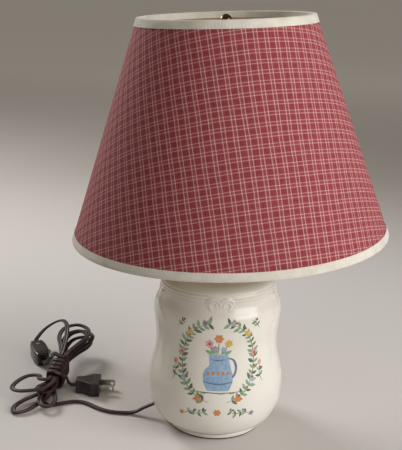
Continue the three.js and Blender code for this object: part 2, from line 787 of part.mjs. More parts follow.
function harpStud() {
  const flangeLow = -studFlangeThickness;
  const headTop = flangeLow - studFlangeGap - harpEyeThickness - studFlangeGap;
  return turned([
    [0, headTop - studHeadThickness], [studHeadRadius, headTop - studHeadThickness],
    [studHeadRadius, headTop], [studShankRadius, headTop], [studShankRadius, flangeLow],
    [studFlangeRadius, flangeLow], [studFlangeRadius, 0], [studThreadRadius, 0],
    [studThreadRadius, studThreadLength], [0, studThreadLength],
  ], turnedSteps);
}

function finial() {
  const low = washerLow + spiderWasherThickness + seatGap;
  const bore = studThreadRadius + seatGap;
  const body = turned([
    [0, low], ...finialShares.map(([height, radius]) => (
      [radius * finialHubRadius, low + height * finialHeight]
    )), [0, low + finialHeight],
  ], turnedSteps);
  return cut(body, turned(rodOutline(bore, low - cutOverrun, low + finialBoreDepth), turnedSteps));
}

// Twin cord: a flat section swept along a route, held level unless a wide axis is given. A wound
// route has a ring at each of its own points, and a free one has its rings at equal steps.
class CordPath extends THREE.CatmullRomCurve3 {
  constructor(points, wideAxis, wound) {
    super(points, false, 'centripetal');
    this.wideAxis = wideAxis;
    this.wound = wound;
    this.arcLengthDivisions = 24 * points.length;
  }

  getSpacedPoints(steps) {
    return this.wound ? this.points : super.getSpacedPoints(steps);
  }

  computeFrenetFrames(steps) {
    const frames = { tangents: [], normals: [], binormals: [] };
    for (let i = 0; i <= steps; i += 1) {
      const tangent = this.wound ? this.getTangent(i / steps) : this.getTangentAt(i / steps);
      const level = new THREE.Vector3(0, 0, 1).cross(tangent);
      const wide = this.wideAxis ? this.wideAxis.clone().projectOnPlane(tangent) : level;
      frames.tangents.push(tangent);
      frames.normals.push(wide.normalize());
      frames.binormals.push(new THREE.Vector3().crossVectors(tangent, wide));
    }
    return frames;
  }
}

function cordSection(sides) {
  const half = cordWidth / 2;
  const thick = cordThickness / 2;
  const shoulder = half - thick;
  const eight = [[half, -thick / 3], [half, thick / 3], [shoulder + thick / 3, thick]];
  const six = [[half, 0], [shoulder + thick / 4, thick]];
  const quarter = sides === loopSides ? six : eight;
  const over = [...quarter, ...quarter.filter(([, y]) => y > 0).reverse().map(([x, y]) => [-x, y])];
  const under = over.filter(([, y]) => y > 0).reverse().map(([x, y]) => [x, -y]);
  const level = sides === loopSides ? [[-half, 0]] : [];
  const outline = sides === loopSides ? [...over, ...level, ...under] : [...over, ...under];
  const unique = outline.filter(([x, y], i) => (
    outline.findIndex(([a, b]) => a === x && b === y) === i
  ));
  return polygonShape(unique);
}

function sweep(path, sides, steps) {
  return new THREE.ExtrudeGeometry(cordSection(sides), { steps, extrudePath: path, bevelEnabled: false });
}

function freeCord(points, step, wideAxis) {
  const path = new CordPath(points, wideAxis, false);
  return sweep(path, cordSides, Math.round(path.getLength() / step));
}

const asVector = ([x, y, z]) => new THREE.Vector3(x, y, z);

// Hank
const layerStep = cordThickness + hankLayerGap;
const columnOffset = (cordWidth + hankColumnGap) / 2;
const wrapHalfWidth = columnOffset + cordWidth / 2 + wrapGap + cordThickness / 2;
const wrapHalfHeight = hankLoops * layerStep / 2 + cordThickness + wrapGap;
const wrapHalfLength = wrapTurns * wrapPitch / 2;
const hankMiddle = wrapHalfHeight + cordThickness / 2 + wrapHalfLength * hankSlope;
const firstLayer = hankMiddle - hankLoops * layerStep / 2;
const heading = hankHeading * degree;
const alongHank = new THREE.Vector3(Math.cos(heading), Math.sin(heading), 0);
const acrossHank = new THREE.Vector3(Math.sin(heading), -Math.cos(heading), 0);
const alongWrap = alongHank.clone().setZ(hankSlope);

function hankPlace(along, across, height) {
  return new THREE.Vector3(hankCentre[0], hankCentre[1], height)
    .addScaledVector(alongHank, along).addScaledVector(acrossHank, across);
}

// One point of a lobe, which starts in the middle of the waist, leaves it straight and swings
// round its tip. end is 1 for the upper lobes and -1 for the lower, and layer is where it starts.
function lobePoint(end, shares, step, layer) {
  const [lengthShare, widthShare, bend, tipShare] = shares;
  const base = end > 0 ? upperLobeLength : lowerLobeLength;
  const reach = lengthShare * base - hankWaist;
  const turn = THREE.MathUtils.clamp((step - 1) / (loopSteps / 2 - 2), 0, 1);
  const out = Math.sin(turn * Math.PI);
  const share = out ** 2;
  const along = step === 0 ? 0 : hankWaist + reach * share;
  const side = -end * Math.cos(turn * Math.PI);
  const across = side * (columnOffset + widthShare * base * lobeFill * out ** 3);
  const bent = Math.min(reach * share / lobeBendLength, 1);
  const angle = bend * degree;
  const radius = lobeBendLength / angle;
  const straight = Math.max(reach * share - lobeBendLength, 0);
  const ahead = Math.min(along, hankWaist) + radius * Math.sin(bent * angle) + straight * Math.cos(angle);
  const aside = radius * (1 - Math.cos(bent * angle)) + straight * Math.sin(angle);
  const start = heading + (end > 0 ? 0 : Math.PI);
  const normal = start + bent * angle - end * Math.PI / 2;
  const x = ahead * Math.cos(start) - aside * Math.sin(start) + across * Math.cos(normal);
  const y = ahead * Math.sin(start) + aside * Math.cos(start) + across * Math.sin(normal);
  const level = firstLayer + layerStep * (layer + (end > 0 ? smooth(turn) : 0));
  const slope = end * hankSlope;
  const atWaist = level + slope * Math.min(along, hankWaist);
  const follow = end > 0 ? 1 : lowerFollowShare;
  const rise = follow * slope * reach * share * (1 - share) ** 2;
  const height = THREE.MathUtils.lerp(atWaist, tipShare * base, share ** 2) + rise;
  return new THREE.Vector3(hankCentre[0] + x, hankCentre[1] + y, height);
}

function hankPoints() {
  const half = loopSteps / 2;
  const points = [];
  const lobe = (end, shares, layer, from) => {
    for (let i = from; i < half; i += 1) points.push(lobePoint(end, shares, i, layer));
  };
  lobe(-1, lowerLobeShares[0], 0, half / 2);
  for (let layer = 0; layer < hankLoops; layer += 1) {
    lobe(1, upperLobeShares[layer], layer, 0);
    lobe(-1, lowerLobeShares[layer + 1], layer + 1, 0);
  }
  const leave = hankPlace(0, -columnOffset, firstLayer + hankLoops * layerStep);
  const first = points[0].clone().sub(points[1]).setZ(0).setLength(cordWidth);
  return [
    points[0].clone().add(first), ...points, leave, leave.clone().addScaledVector(alongWrap, hankWaist),
    leave.clone().addScaledVector(alongWrap, hankWaist + cordWidth),
  ];
}

// Wrap: a rounded rectangle round the two columns, one pitch on with every turn
function wrapPoints() {
  const wide = wrapHalfWidth - wrapCorner;
  const high = wrapHalfHeight - wrapCorner;
  const outline = [[0, wrapHalfHeight]];
  const corners = [[wide, high], [wide, -high], [-wide, -high], [-wide, high]];
  corners.forEach(([across, up], k) => {
    for (let i = 0; i <= wrapCornerSteps; i += 1) {
      const angle = (1 - k - i / wrapCornerSteps) * Math.PI / 2;
      outline.push([across + wrapCorner * Math.cos(angle), up + wrapCorner * Math.sin(angle)]);
    }
    if (k === 1) outline.push([0, -wrapHalfHeight]);
  });
  const count = wrapTurns * outline.length;
  const points = Array.from({ length: count + 1 }, (_, i) => {
    const [across, up] = outline[i % outline.length];
    const along = wrapHalfLength * (1 - 2 * i / count);
    return hankPlace(along, across, hankMiddle + up + along * hankSlope);
  });
  const away = acrossHank.clone().multiplyScalar(cordWidth).addScaledVector(alongWrap, -wrapParting);
  const before = points[0].clone().sub(away);
  const after = points[count].clone().add(away);
  return [before, ...points, after];
}

// The least gap between parts of one tube that lie some steps apart, from points on its faces
function leastGap(path) {
  const steps = path.points.length - 1;
  const frames = path.computeFrenetFrames(steps);
  const corners = cordSection(loopSides).getPoints();
  const rings = path.points.map((point, i) => corners.map(({ x, y }) => (
    point.clone().addScaledVector(frames.normals[i], x).addScaledVector(frames.binormals[i], y)
  )));
  const faces = rings.slice(1).map((ring, i) => ring.flatMap((corner, k) => {
    const next = (k + 1) % ring.length;
    return [
      new THREE.Triangle(rings[i][k], rings[i][next], corner),
      new THREE.Triangle(corner, rings[i][next], ring[next]),
    ];
  }));
  const middles = path.points;
  const near = new THREE.Vector3();
  const reach = 2 * cordWidth + 4 * path.getLength() / steps;
  const apart = Math.ceil(3 * cordWidth * steps / path.getLength());
  let least = Infinity;
  faces.forEach((own, i) => faces.forEach((others, j) => {
    if (Math.abs(i - j) < apart || middles[i].distanceTo(middles[j]) > reach) return;
    own.forEach(({ a, b, c }) => others.forEach((face) => {
      const samples = [a, b, c, a.clone().add(b).add(c).divideScalar(3)];
      samples.forEach((sample) => {
        least = Math.min(least, face.closestPointToPoint(sample, near).distanceTo(sample));
      });
    }));
  }));
  return least;
}

const hankRoute = hankPoints();
const wrapRoute = wrapPoints();

function woundCord(route, label, wideAxis) {
  const path = new CordPath(route, wideAxis, true);
  console.log(`least gap in the ${label} ${leastGap(path).toFixed(2)} mm`);
  return sweep(path, loopSides, route.length - 1);
}

// A face-to-face joint in the cord: a point past the end of a route, and one a diameter on
function meeting(end, before) {
  const way = end.clone().sub(before).normalize();
  return [
    end.clone().addScaledVector(way, seatGap), end.clone().addScaledVector(way, seatGap + cordWidth),
  ];
}

const bushingFace = seatGap - bushingSeatDepth + bushingFlangeThickness;
const atHole = (out) => new THREE.Vector3(out, 0, 0).applyMatrix4(holeMatrix);

function leadPoints() {
  const start = meeting(atHole(bushingFace), atHole(bushingFace - cordWidth));
  const end = meeting(hankRoute[0], hankRoute[1]).reverse();
  return [...start, ...leadRoute.map(asVector), ...end];
}

function innerPoints() {
  const deep = -wallThickness - bushingSeatDepth - bushingTailLength - cordWidth;
  const top = socketLow + socketBodyStart - seatGap;
  const rodLow = crownHeight - rodBelowCrown;
  return [
    atHole(bushingFace), atHole(deep),
    ...innerRouteShares.map(([across, up]) => new THREE.Vector3(across * bellyRadius, 0, up * rodLow)),
    new THREE.Vector3(0, 0, crownUnderside), new THREE.Vector3(0, 0, top - cordWidth),
    new THREE.Vector3(0, 0, top),
  ];
}

// Line switch, in its own frame: X runs from its far end to its near end, Z is up
const switchAngle = switchHeading * degree;

function switchPoint(along, height) {
  return new THREE.Vector3(
    switchPlace[0] + along * Math.cos(switchAngle), switchPlace[1] + along * Math.sin(switchAngle), height,
  );
}

function switchOutline(inset) {
  const half = switchLength / 2 - inset;
  const wide = switchWidth / 2 - inset;
  const narrow = wide * switchEndShare;
  const shape = new THREE.Shape();
  shape.moveTo(-half, -narrow);
  shape.bezierCurveTo(-half * 0.6, -wide, -half * 0.35, -wide, 0, -wide);
  shape.bezierCurveTo(half * 0.35, -wide, half * 0.6, -wide, half, -narrow);
  shape.lineTo(half, narrow);
  shape.bezierCurveTo(half * 0.6, wide, half * 0.35, wide, 0, wide);
  shape.bezierCurveTo(-half * 0.35, wide, -half * 0.6, wide, -half, narrow);
  return shape;
}

function switchHalf(upper) {
  const middle = switchHeight / 2;
  const parting = seatGap / 2;
  const shell = new THREE.ExtrudeGeometry(switchOutline(switchEdge), {
    depth: middle - parting - switchEdge, curveSegments: 4, bevelEnabled: true, bevelSegments: 2,
    bevelThickness: switchEdge, bevelSize: switchEdge,
  }).translate(0, 0, parting);
  const below = block(2 * switchLength, 2 * switchWidth, switchHeight).translate(0, 0, parting - middle);
  const half = cut(shell, below);
  const whole = (upper ? half : half.rotateX(Math.PI)).translate(0, 0, middle);
  const reach = switchHeight;
  const wheelRoom = turned(rodOutline(
    switchWheelRadius + switchWheelTooth + switchRunGap,
    middle - switchWheelThickness / 2 - switchRunGap, middle + switchWheelThickness / 2 + switchRunGap,
  ), turnedSteps).translate(0, switchWheelOffset, 0);
  const pinRoom = turned(rodOutline(
    switchPinRadius + switchRunGap, middle - switchPinLength / 2 - seatGap,
    middle + switchPinLength / 2 + seatGap,
  ), smallSteps).translate(0, switchWheelOffset, 0);
  const screwRoom = turned(rodOutline(switchScrewRadius + seatGap, -reach, 2 * reach), smallSteps)
    .translate(switchScrewOffset, 0, 0);
  const headRoom = turned(rodOutline(
    switchScrewHeadRadius + seatGap, switchHeight - switchScrewHeadThickness - seatGap, 2 * reach,
  ), smallSteps).translate(switchScrewOffset, 0, 0);
  const nutRoom = extruded(circleShape(switchNutRadius + 1.5 * seatGap, 6), reach)
    .translate(switchScrewOffset, 0, switchNutThickness + 2 * seatGap - reach);
  const cordRoom = (side) => block(
    2 * switchCordDepth, cordWidth + 2 * seatGap, cordThickness + 2 * seatGap,
  ).translate(side * switchLength / 2, 0, middle);
  return cut(whole, wheelRoom, pinRoom, screwRoom, upper ? headRoom : nutRoom, cordRoom(1), cordRoom(-1));
}

function switchWheel() {
  const count = 2 * switchWheelTeeth;
  const rim = Array.from({ length: count }, (_, i) => {
    const radius = switchWheelRadius + (i % 2 ? 0 : switchWheelTooth);
    const angle = 2 * Math.PI * i / count;
    return [radius * Math.cos(angle), radius * Math.sin(angle)];
  });
  const shape = polygonShape(rim);
  const hole = new THREE.Path();
  hole.absarc(0, 0, switchPinRadius + switchRunGap, 0, 2 * Math.PI, true);
  shape.holes.push(hole);
  return extruded(shape, switchWheelThickness, { curveSegments: smallSteps / 2 })
    .translate(0, switchWheelOffset, switchHeight / 2 - switchWheelThickness / 2);
}

function switchPin() {
  const middle = switchHeight / 2;
  const half = switchPinLength / 2;
  return turned(rodOutline(switchPinRadius, middle - half, middle + half), smallSteps)
    .translate(0, switchWheelOffset, 0);
}

function switchScrew() {
  const headLow = switchHeight - switchScrewHeadThickness;
  const tip = seatGap;
  return turned([
    [0, tip], [switchScrewRadius, tip], [switchScrewRadius, headLow],
    [switchScrewHeadRadius, headLow], [switchScrewHeadRadius, switchHeight - seatGap],
    [0, switchHeight - seatGap],
  ], smallSteps).translate(switchScrewOffset, 0, 0);
}

function switchNut() {
  const shape = circleShape(switchNutRadius, 6);
  const hole = new THREE.Path();
  hole.absarc(0, 0, switchScrewRadius + seatGap, 0, 2 * Math.PI, true);
  shape.holes.push(hole);
  return extruded(shape, switchNutThickness, { curveSegments: smallSteps / 2 })
    .translate(switchScrewOffset, 0, 1.5 * seatGap);
}

// Plug, with its flat face towards +X
function plugBody() {
  const back = -plugLength;
  const tail = plugWidth / 2 * plugTailWidthShare;
  const wide = plugWidth / 2;
  const taper = back + plugTaperShare * plugLength;
  const inset = plugEdge;
  const shape = new THREE.Shape();
  shape.moveTo(back + inset, -tail + inset);
  shape.bezierCurveTo(taper, -tail + inset, taper * 0.9, -wide + inset, taper / 2, -wide + inset);
  shape.lineTo(-inset, -wide + inset);
  shape.lineTo(-inset, wide - inset);
  shape.lineTo(taper / 2, wide - inset);
  shape.bezierCurveTo(taper * 0.9, wide - inset, taper, tail - inset, back + inset, tail - inset);
  const body = new THREE.ExtrudeGeometry(shape, {
    depth: plugHeight - 2 * plugEdge, curveSegments: 6, bevelEnabled: true, bevelSegments: 2,
    bevelThickness: plugEdge, bevelSize: plugEdge,
  }).translate(0, 0, plugEdge);
  const middle = plugHeight / 2;
  const slot = (side) => {
    const width = bladeWidths[side > 0 ? 1 : 0];
    return block(2 * (bladeRoot + seatGap), bladeThickness + 2 * seatGap, width + 2 * seatGap)
      .translate(0, side * bladeSpacing / 2, middle);
  };
  return cut(body, slot(1), slot(-1)).translate(plugPlace[0], plugPlace[1], 0);
}

function plugBlade(side) {
  const width = bladeWidths[side > 0 ? 1 : 0];
  const tip = bladeTipShare * width;
  const shape = polygonShape([
    [-bladeRoot, -width / 2], [bladeLength - tip, -width / 2], [bladeLength, -width / 2 + tip],
    [bladeLength, width / 2 - tip], [bladeLength - tip, width / 2], [-bladeRoot, width / 2],
  ]);
  const hole = new THREE.Path();
  hole.absarc(bladeLength - bladeHoleFromTip, 0, bladeHoleRadius, 0, 2 * Math.PI, true);
  shape.holes.push(hole);
  return extruded(shape, bladeThickness, { curveSegments: smallSteps / 2 })
    .translate(0, 0, -bladeThickness / 2).rotateX(Math.PI / 2)
    .translate(plugPlace[0], plugPlace[1] + side * bladeSpacing / 2, plugHeight / 2);
}

function toSwitchPoints() {
  const end = switchPoint(-switchLength / 2, switchHeight / 2);
  const inward = switchPoint(-switchLength / 2 + switchCordDepth - 2 * seatGap, switchHeight / 2);
  const outward = switchPoint(-switchLength / 2 - cordWidth, switchHeight / 2);
  const start = meeting(hankRoute.at(-1), hankRoute.at(-2));
  return [...start, ...toSwitchRoute.map(asVector), outward, end, inward];
}

function fromSwitchPoints() {
  const inward = switchPoint(switchLength / 2 - switchCordDepth + 2 * seatGap, switchHeight / 2);
  const end = switchPoint(switchLength / 2, switchHeight / 2);
  const outward = switchPoint(switchLength / 2 + cordWidth, switchHeight / 2);
  const finish = meeting(wrapRoute[0], wrapRoute[1]).reverse();
  return [inward, end, outward, ...fromSwitchRoute.map(asVector), ...finish];
}

function plugTailPoints() {
  const start = meeting(wrapRoute.at(-1), wrapRoute.at(-2));
  const face = plugPlace[0] - plugLength - seatGap;
  const height = plugHeight / 2;
  return [
    ...start, ...plugTailRoute.map(asVector),
    new THREE.Vector3(face - cordWidth, plugPlace[1], height), new THREE.Vector3(face, plugPlace[1], height),
  ];
}

// Assembly
const group = new THREE.Group();

group.add(
  piece('ceramic_base', ceramicBase(), 'glaze'),
  piece('felt_pad', turned(rodOutline(feltRadius, 0, feltThickness), bodySteps), 'felt'),
  piece('cord_bushing', cordBushing(), 'black'),
);

group.add(
  piece('threaded_rod', turned(tubeOutline(
    rodRadius, rodBoreRadius, crownHeight - rodBelowCrown, socketLow + rodIntoSocket,
  ), turnedSteps), 'steel'),
  piece('inner_washer', turned(tubeOutline(
    washerRadius, rodHole, crownUnderside - washerThickness, crownUnderside,
  ), turnedSteps), 'steel'),
  piece('lock_washer', lockWasher(), 'steel'),
  piece('hex_nut', hexNut(), 'steel'),
  piece('vase_cap', vaseCap(), 'brass'),
  piece('brass_neck', brassNeck(), 'brass'),
);

group.add(
  piece('harp_saddle', harpSaddle(), 'brass'),
  piece('harp_bow', harpBow(), 'brass'),
  piece('harp_sleeve_left', harpSleeve(-1), 'brass'),
  piece('harp_sleeve_right', harpSleeve(1), 'brass'),
);

const screwShell = tubeOutline(
  screwShellRadius, screwShellRadius - screwShellSheet, socketLow + socketBodyTop,
  socketLow + screwShellTop,
);
const contactOutline = rodOutline(
  contactRadius, socketLow + socketBodyTop, socketLow + socketBodyTop + contactThickness,
);
group.add(
  piece('socket_cap', socketCap(), 'brass'),
  piece('socket_set_screw', setScrew(), 'steel'),
  piece('socket_shell', socketShell(), 'brass'),
  piece('socket_liner', socketLiner(), 'board'),
  piece('socket_body', socketBody(), 'phenolic'),
  piece('socket_screw_shell', turned(screwShell, turnedSteps), 'nickel'),
  piece('socket_contact', turned(contactOutline, smallSteps), 'brass'),
  piece('terminal_screw_hot', terminalScrew(1), 'brass'),
  piece('terminal_screw_neutral', terminalScrew(-1), 'nickel'),
);

group.add(
  piece('bulb_glass', bulbGlassShell(), 'glass'),
  piece('bulb_cap', bulbCap(), 'nickel'),
  piece('bulb_contact', turned(rodOutline(bulbContactRadius, bulbLow, bulbCapLow), smallSteps), 'nickel'),
);

const shadeStack = new THREE.Group();
shadeStack.position.z = seatHeight;
shadeStack.rotation.y = -shadeLean * degree;
shadeStack.add(
  piece('harp_stud', harpStud(), 'brass'),
  piece('top_frame', topFrame(), 'whiteSteel'),
  piece('bottom_ring', bottomRing(), 'whiteSteel'),
  piece('shade_cloth', coneShell(0, clothThickness), 'cloth'),
  piece('shade_lining', coneShell(liningInset, liningThickness), 'lining'),
  piece('top_tape', topTape(), 'tape'),
  piece('bottom_tape', tape(rimBottom, bottomRingRadius, -1), 'tape'),
  piece('finial', finial(), 'darkBrass'),
);
group.add(shadeStack);

const sideways = new THREE.Vector3(0, 1, 0);
group.add(
  piece('cord_inside', freeCord(innerPoints(), cordStep, sideways), 'cord'),
  piece('cord_lead', freeCord(leadPoints(), cordStep / 2), 'cord'),
  piece('cord_hank', woundCord(hankRoute, 'hank'), 'cord'),
  piece('cord_to_switch', freeCord(toSwitchPoints(), cordStep / 2), 'cord'),
  piece('cord_from_switch', freeCord(fromSwitchPoints(), cordStep / 2), 'cord'),
  piece('cord_wrap', woundCord(wrapRoute, 'wrap', alongWrap), 'cord'),
  piece('cord_plug_tail', freeCord(plugTailPoints(), cordStep / 4), 'cord'),
);

const lineSwitch = new THREE.Group();
lineSwitch.position.set(switchPlace[0], switchPlace[1], 0);
lineSwitch.rotation.z = switchAngle;
lineSwitch.add(
  piece('switch_upper_shell', switchHalf(true), 'black'),
  piece('switch_lower_shell', switchHalf(false), 'black'),
  piece('switch_wheel', switchWheel(), 'black'),
  piece('switch_pin', switchPin(), 'steel'),
  piece('switch_screw', switchScrew(), 'steel'),
  piece('switch_nut', switchNut(), 'steel'),
);
group.add(lineSwitch);

group.add(
  piece('plug_body', plugBody(), 'black'),
  piece('plug_blade_narrow', plugBlade(-1), 'nickel'),
  piece('plug_blade_wide', plugBlade(1), 'nickel'),
);

export default group;
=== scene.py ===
import math
import random

import bmesh
import bpy
import numpy as np
from mathutils import Matrix, Vector


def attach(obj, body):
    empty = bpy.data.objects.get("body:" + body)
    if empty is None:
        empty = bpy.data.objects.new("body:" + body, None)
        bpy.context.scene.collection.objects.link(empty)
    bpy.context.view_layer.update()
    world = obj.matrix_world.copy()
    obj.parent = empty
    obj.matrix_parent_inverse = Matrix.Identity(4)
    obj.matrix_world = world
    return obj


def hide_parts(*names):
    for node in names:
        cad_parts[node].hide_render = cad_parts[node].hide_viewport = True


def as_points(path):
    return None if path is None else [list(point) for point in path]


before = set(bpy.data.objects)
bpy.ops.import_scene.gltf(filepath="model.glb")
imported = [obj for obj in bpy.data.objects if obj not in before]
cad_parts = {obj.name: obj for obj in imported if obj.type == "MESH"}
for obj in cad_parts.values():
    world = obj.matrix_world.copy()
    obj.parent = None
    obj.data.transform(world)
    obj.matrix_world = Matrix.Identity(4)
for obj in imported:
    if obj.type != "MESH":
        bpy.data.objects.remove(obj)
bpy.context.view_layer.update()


# Camera. It stands in front of the lamp, a little above the shade's rim, and looks down on the
# table. The picture is a little turned, as a camera held by hand is.
MM = 0.001
camera_place = Vector((-18.5, -847.9, 445.9)) * MM
camera_pitch = math.radians(15.74)
camera_roll = math.radians(1.55)
film_width = 36
focal_length = 72.19

ahead = Vector((0, math.cos(camera_pitch), -math.sin(camera_pitch)))
level = Vector((1, 0, 0))
over = level.cross(ahead)
right = math.cos(camera_roll) * level + math.sin(camera_roll) * over
upright = -math.sin(camera_roll) * level + math.cos(camera_roll) * over
camera = bpy.data.objects.new("camera", bpy.data.cameras.new("camera"))
camera.data.sensor_width = film_width
camera.data.lens = focal_length
camera.matrix_world = Matrix.Translation(camera_place) @ Matrix(
    (right, upright, -ahead)).transposed().to_4x4()
bpy.context.collection.objects.link(camera)
bpy.context.scene.camera = camera


# Felt under the foot. A disc of brown wool felt, stamped out and glued to the foot ring. Its
# edge is cut square and is a little fluffy.
felt_radius = 46.0
felt_thickness = 1.5
felt_edge = 0.25


def pick(obj):
    """Leaves this one object selected and active, outside edit mode."""
    bpy.ops.object.select_all(action="DESELECT")
    obj.select_set(True)
    bpy.context.view_layer.objects.active = obj


def drawn(name, points, edges=(), faces=()):
    """A piece drawn point by point in millimetres."""
    mesh = bpy.data.meshes.new(name)
    mesh.from_pydata([Vector(p) * MM for p in points], list(edges), list(faces))
    obj = bpy.data.objects.new(name, mesh)
    bpy.context.collection.objects.link(obj)
    return obj


def turned(name, outline, steps=96, base=0.0):
    """Spins an outline of (radius, height above base) about the upright axis. One that leaves
    the axis is closed."""
    count = len(outline)
    edges = [(i, i + 1) for i in range(count - 1)]
    if outline[0][0] > 0:
        edges.append((count - 1, 0))
    obj = drawn(name, [(r, 0, base + z) for r, z in outline], edges)
    pick(obj)
    bpy.ops.object.mode_set(mode="EDIT")
    bpy.ops.mesh.select_all(action="SELECT")
    bpy.ops.mesh.spin(steps=steps, angle=2 * math.pi, center=(0, 0, 0), axis=(0, 0, 1))
    bpy.ops.mesh.select_all(action="SELECT")
    bpy.ops.mesh.remove_doubles(threshold=2e-6)
    bpy.ops.mesh.normals_make_consistent(inside=False)
    bpy.ops.object.mode_set(mode="OBJECT")
    return obj


def flat_ring(name, bore, radius, low, high, steps=64):
    """A turned ring with square edges, or a disc where bore is 0."""
    return turned(name, [(bore, low), (radius, low), (radius, high), (bore, high)], steps)


def smooth(obj, angle=40):
    pick(obj)
    bpy.ops.object.shade_smooth_by_angle(angle=math.radians(angle))
    return obj


def soften(obj, width, segments=2, angle=28):
    """Rounds the sharp edges and shades the rest smooth."""
    pick(obj)
    edge = obj.modifiers.new("edge", "BEVEL")
    edge.width = width * MM
    edge.segments = segments
    edge.limit_method = "ANGLE"
    edge.angle_limit = math.radians(angle)
    bpy.ops.object.modifier_apply(modifier=edge.name)
    return smooth(obj)


def tone(code):
    """A colour written as six hexadecimal digits, as a shader takes it."""
    parts = [int(code[i:i + 2], 16) / 255 for i in (0, 2, 4)]
    return [p / 12.92 if p <= 0.04045 else ((p + 0.055) / 1.055) ** 2.4 for p in parts] + [1.0]


class Nodes:
    """A node tree, with short ways to add to it."""

    def __init__(self, tree):
        self.tree = tree

    def node(self, kind, settings=None, **inputs):
        made = self.tree.nodes.new("ShaderNode" + kind)
        for key, value in (settings or {}).items():
            setattr(made, key, value)
        for key, value in inputs.items():
            self.join(made.inputs[int(key[1:]) if key[0] == "_" else key.replace("_", " ")], value)
        return made

    def join(self, socket, value):
        if isinstance(value, bpy.types.NodeSocket):
            self.tree.links.new(value, socket)
        else:
            socket.default_value = value

    def math(self, kind, *values, clamp=False):
        made = self.node("Math", {"operation": kind, "use_clamp": clamp})
        for socket, value in zip(made.inputs, values):
            self.join(socket, value)
        return made.outputs[0]

    def spread(self, value, low, high, to_low=0.0, to_high=1.0, eased=False):
        kind = "SMOOTHSTEP" if eased else "LINEAR"
        return self.node("MapRange", {"interpolation_type": kind}, Value=value, From_Min=low,
                         From_Max=high, To_Min=to_low, To_Max=to_high).outputs[0]

    def blend(self, share, first, second):
        """A mix of two colours, each a socket or six hexadecimal digits."""
        ends = [tone(end) if isinstance(end, str) else end for end in (first, second)]
        return self.node("Mix", {"data_type": "RGBA"}, _0=share, _6=ends[0], _7=ends[1]).outputs[2]

    def place(self, stretch=(1, 1, 1), kind="Object"):
        coords = self.node("TexCoord").outputs[kind]
        return self.node("Mapping", Vector=coords, Scale=stretch).outputs[0]

    def cloud(self, vector, grain, detail=3.0, rough=0.55):
        return self.node("TexNoise", Vector=vector, Scale=grain, Detail=detail,
                         Roughness=rough).outputs[0]

    def drift(self, vector, grain, detail, low=0.0, high=1.0, within=(0.3, 0.7)):
        """A value that wanders between low and high."""
        return self.spread(self.cloud(vector, grain, detail), *within, low, high)

    def relief(self, height, depth, before=None):
        """Bump of a height map from 0 to 1 that is depth millimetres deep."""
        bump = self.node("Bump", Height=height, Strength=1.0, Distance=depth * MM)
        if before is not None:
            self.join(bump.inputs["Normal"], before)
        return bump.outputs[0]


class Finish(Nodes):
    """A material, with its node tree at hand."""

    def __init__(self, name, **sockets):
        self.material = bpy.data.materials.new(name)
        self.material.use_nodes = True
        super().__init__(self.material.node_tree)
        self.shader = self.tree.nodes["Principled BSDF"]
        for socket, value in sockets.items():
            self.shader.inputs[socket.replace("_", " ")].default_value = value

    def paint(self, colour, gloss=None, normal=None):
        for socket, value in (("Base Color", colour), ("Roughness", gloss), ("Normal", normal)):
            if value is not None:
                self.join(self.shader.inputs[socket], value)


def mottled(name, dark, light, grain, rough, fine_relief=(), **sockets):
    """A finish whose colour and gloss wander between two values, with a fine relief of
    (grain, depth) pairs."""
    finish = Finish(name, **sockets)
    place = finish.place()
    colour = finish.blend(finish.drift(place, grain, 5, within=(0.32, 0.68)), dark, light)
    gloss = finish.drift(place, grain * 2.3, 4, *rough)
    normal = None
    for fine, depth in fine_relief:
        normal = finish.relief(finish.cloud(place, fine, 2), depth, normal)
    finish.paint(colour, gloss, normal)
    return finish


def dressed(obj, finish):
    obj.data.materials.clear()
    obj.data.materials.append(finish.material)
    return obj


def fit(obj, finish, body, slot, *nodes):
    """Gives a piece its finish, the body it moves with and the solids it stands for."""
    dressed(obj, finish)
    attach(obj, body)
    if nodes:
        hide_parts(*nodes)
    return obj


felt = mottled("wool_felt", "2c1f18", "4a372b", 900, (0.9, 1.0), [(2600, 0.25), (700, 0.2)],
               Sheen_Weight=0.5, Sheen_Roughness=0.6)
pad = flat_ring("felt_disc", 0, felt_radius, 0, felt_thickness, 120)
fit(soften(pad, felt_edge), felt, "lamp", "felt", "felt_pad")


# Ceramic body. Slip cast in a plaster mould, then glazed: a jar with a waist, turned rings round
# its shoulder, a double scroll at the front and a wavy moulded line down each side.
body_low = felt_thickness
body_height = 158.5
belly_radius = 67.8
wall = 5.0
foot_radius = 47.4
foot_height = 4.6
foot_opening = 38.0
foot_edge = 1.2
foot_chamfer = 0.4
rod_hole = 6.5
body_shares = [
    (0.034, 0.680), (0.041, 0.738), (0.060, 0.820), (0.085, 0.877), (0.125, 0.930), (0.185, 0.977),
    (0.245, 0.995), (0.300, 1.000), (0.350, 0.990), (0.405, 0.962), (0.465, 0.925), (0.525, 0.898),
    (0.590, 0.884), (0.650, 0.889), (0.710, 0.907), (0.775, 0.918), (0.828, 0.905), (0.862, 0.868),
    (0.895, 0.847), (0.945, 0.840), (0.975, 0.815), (0.993, 0.740), (1.000, 0.640),
]
inside_shares = (0.86, 0.76, 0.59, 0.42, 0.28, 0.16, 0.10)
moulding_radius = 60.0
ring_heights = (147.3, 150.4, 153.7)
ring_depth = 0.6
ring_width = 0.75
ring_free = 8.0
ring_fade = 5.0
scroll_height = 144.4
scroll_centre = 1.8
scroll_arcs = ((6.6, 175, 15), (3.7, 190, -60))
scroll_rise = 0.8
scroll_line = 0.8
side_fade = 40.0
side_lines = (
    (0.95, 2.0, 62, [(66, 145.5), (72, 143.5), (74, 138.5), (69, 133), (60, 128), (55, 121),
                     (55, 111), (58.5, 100), (61, 88), (58, 76), (57, 64)]),
    (0.8, 2.6, 66, [(82, 149), (87, 138), (84, 126), (87, 112), (83, 98), (86, 84), (84, 70)]),
)
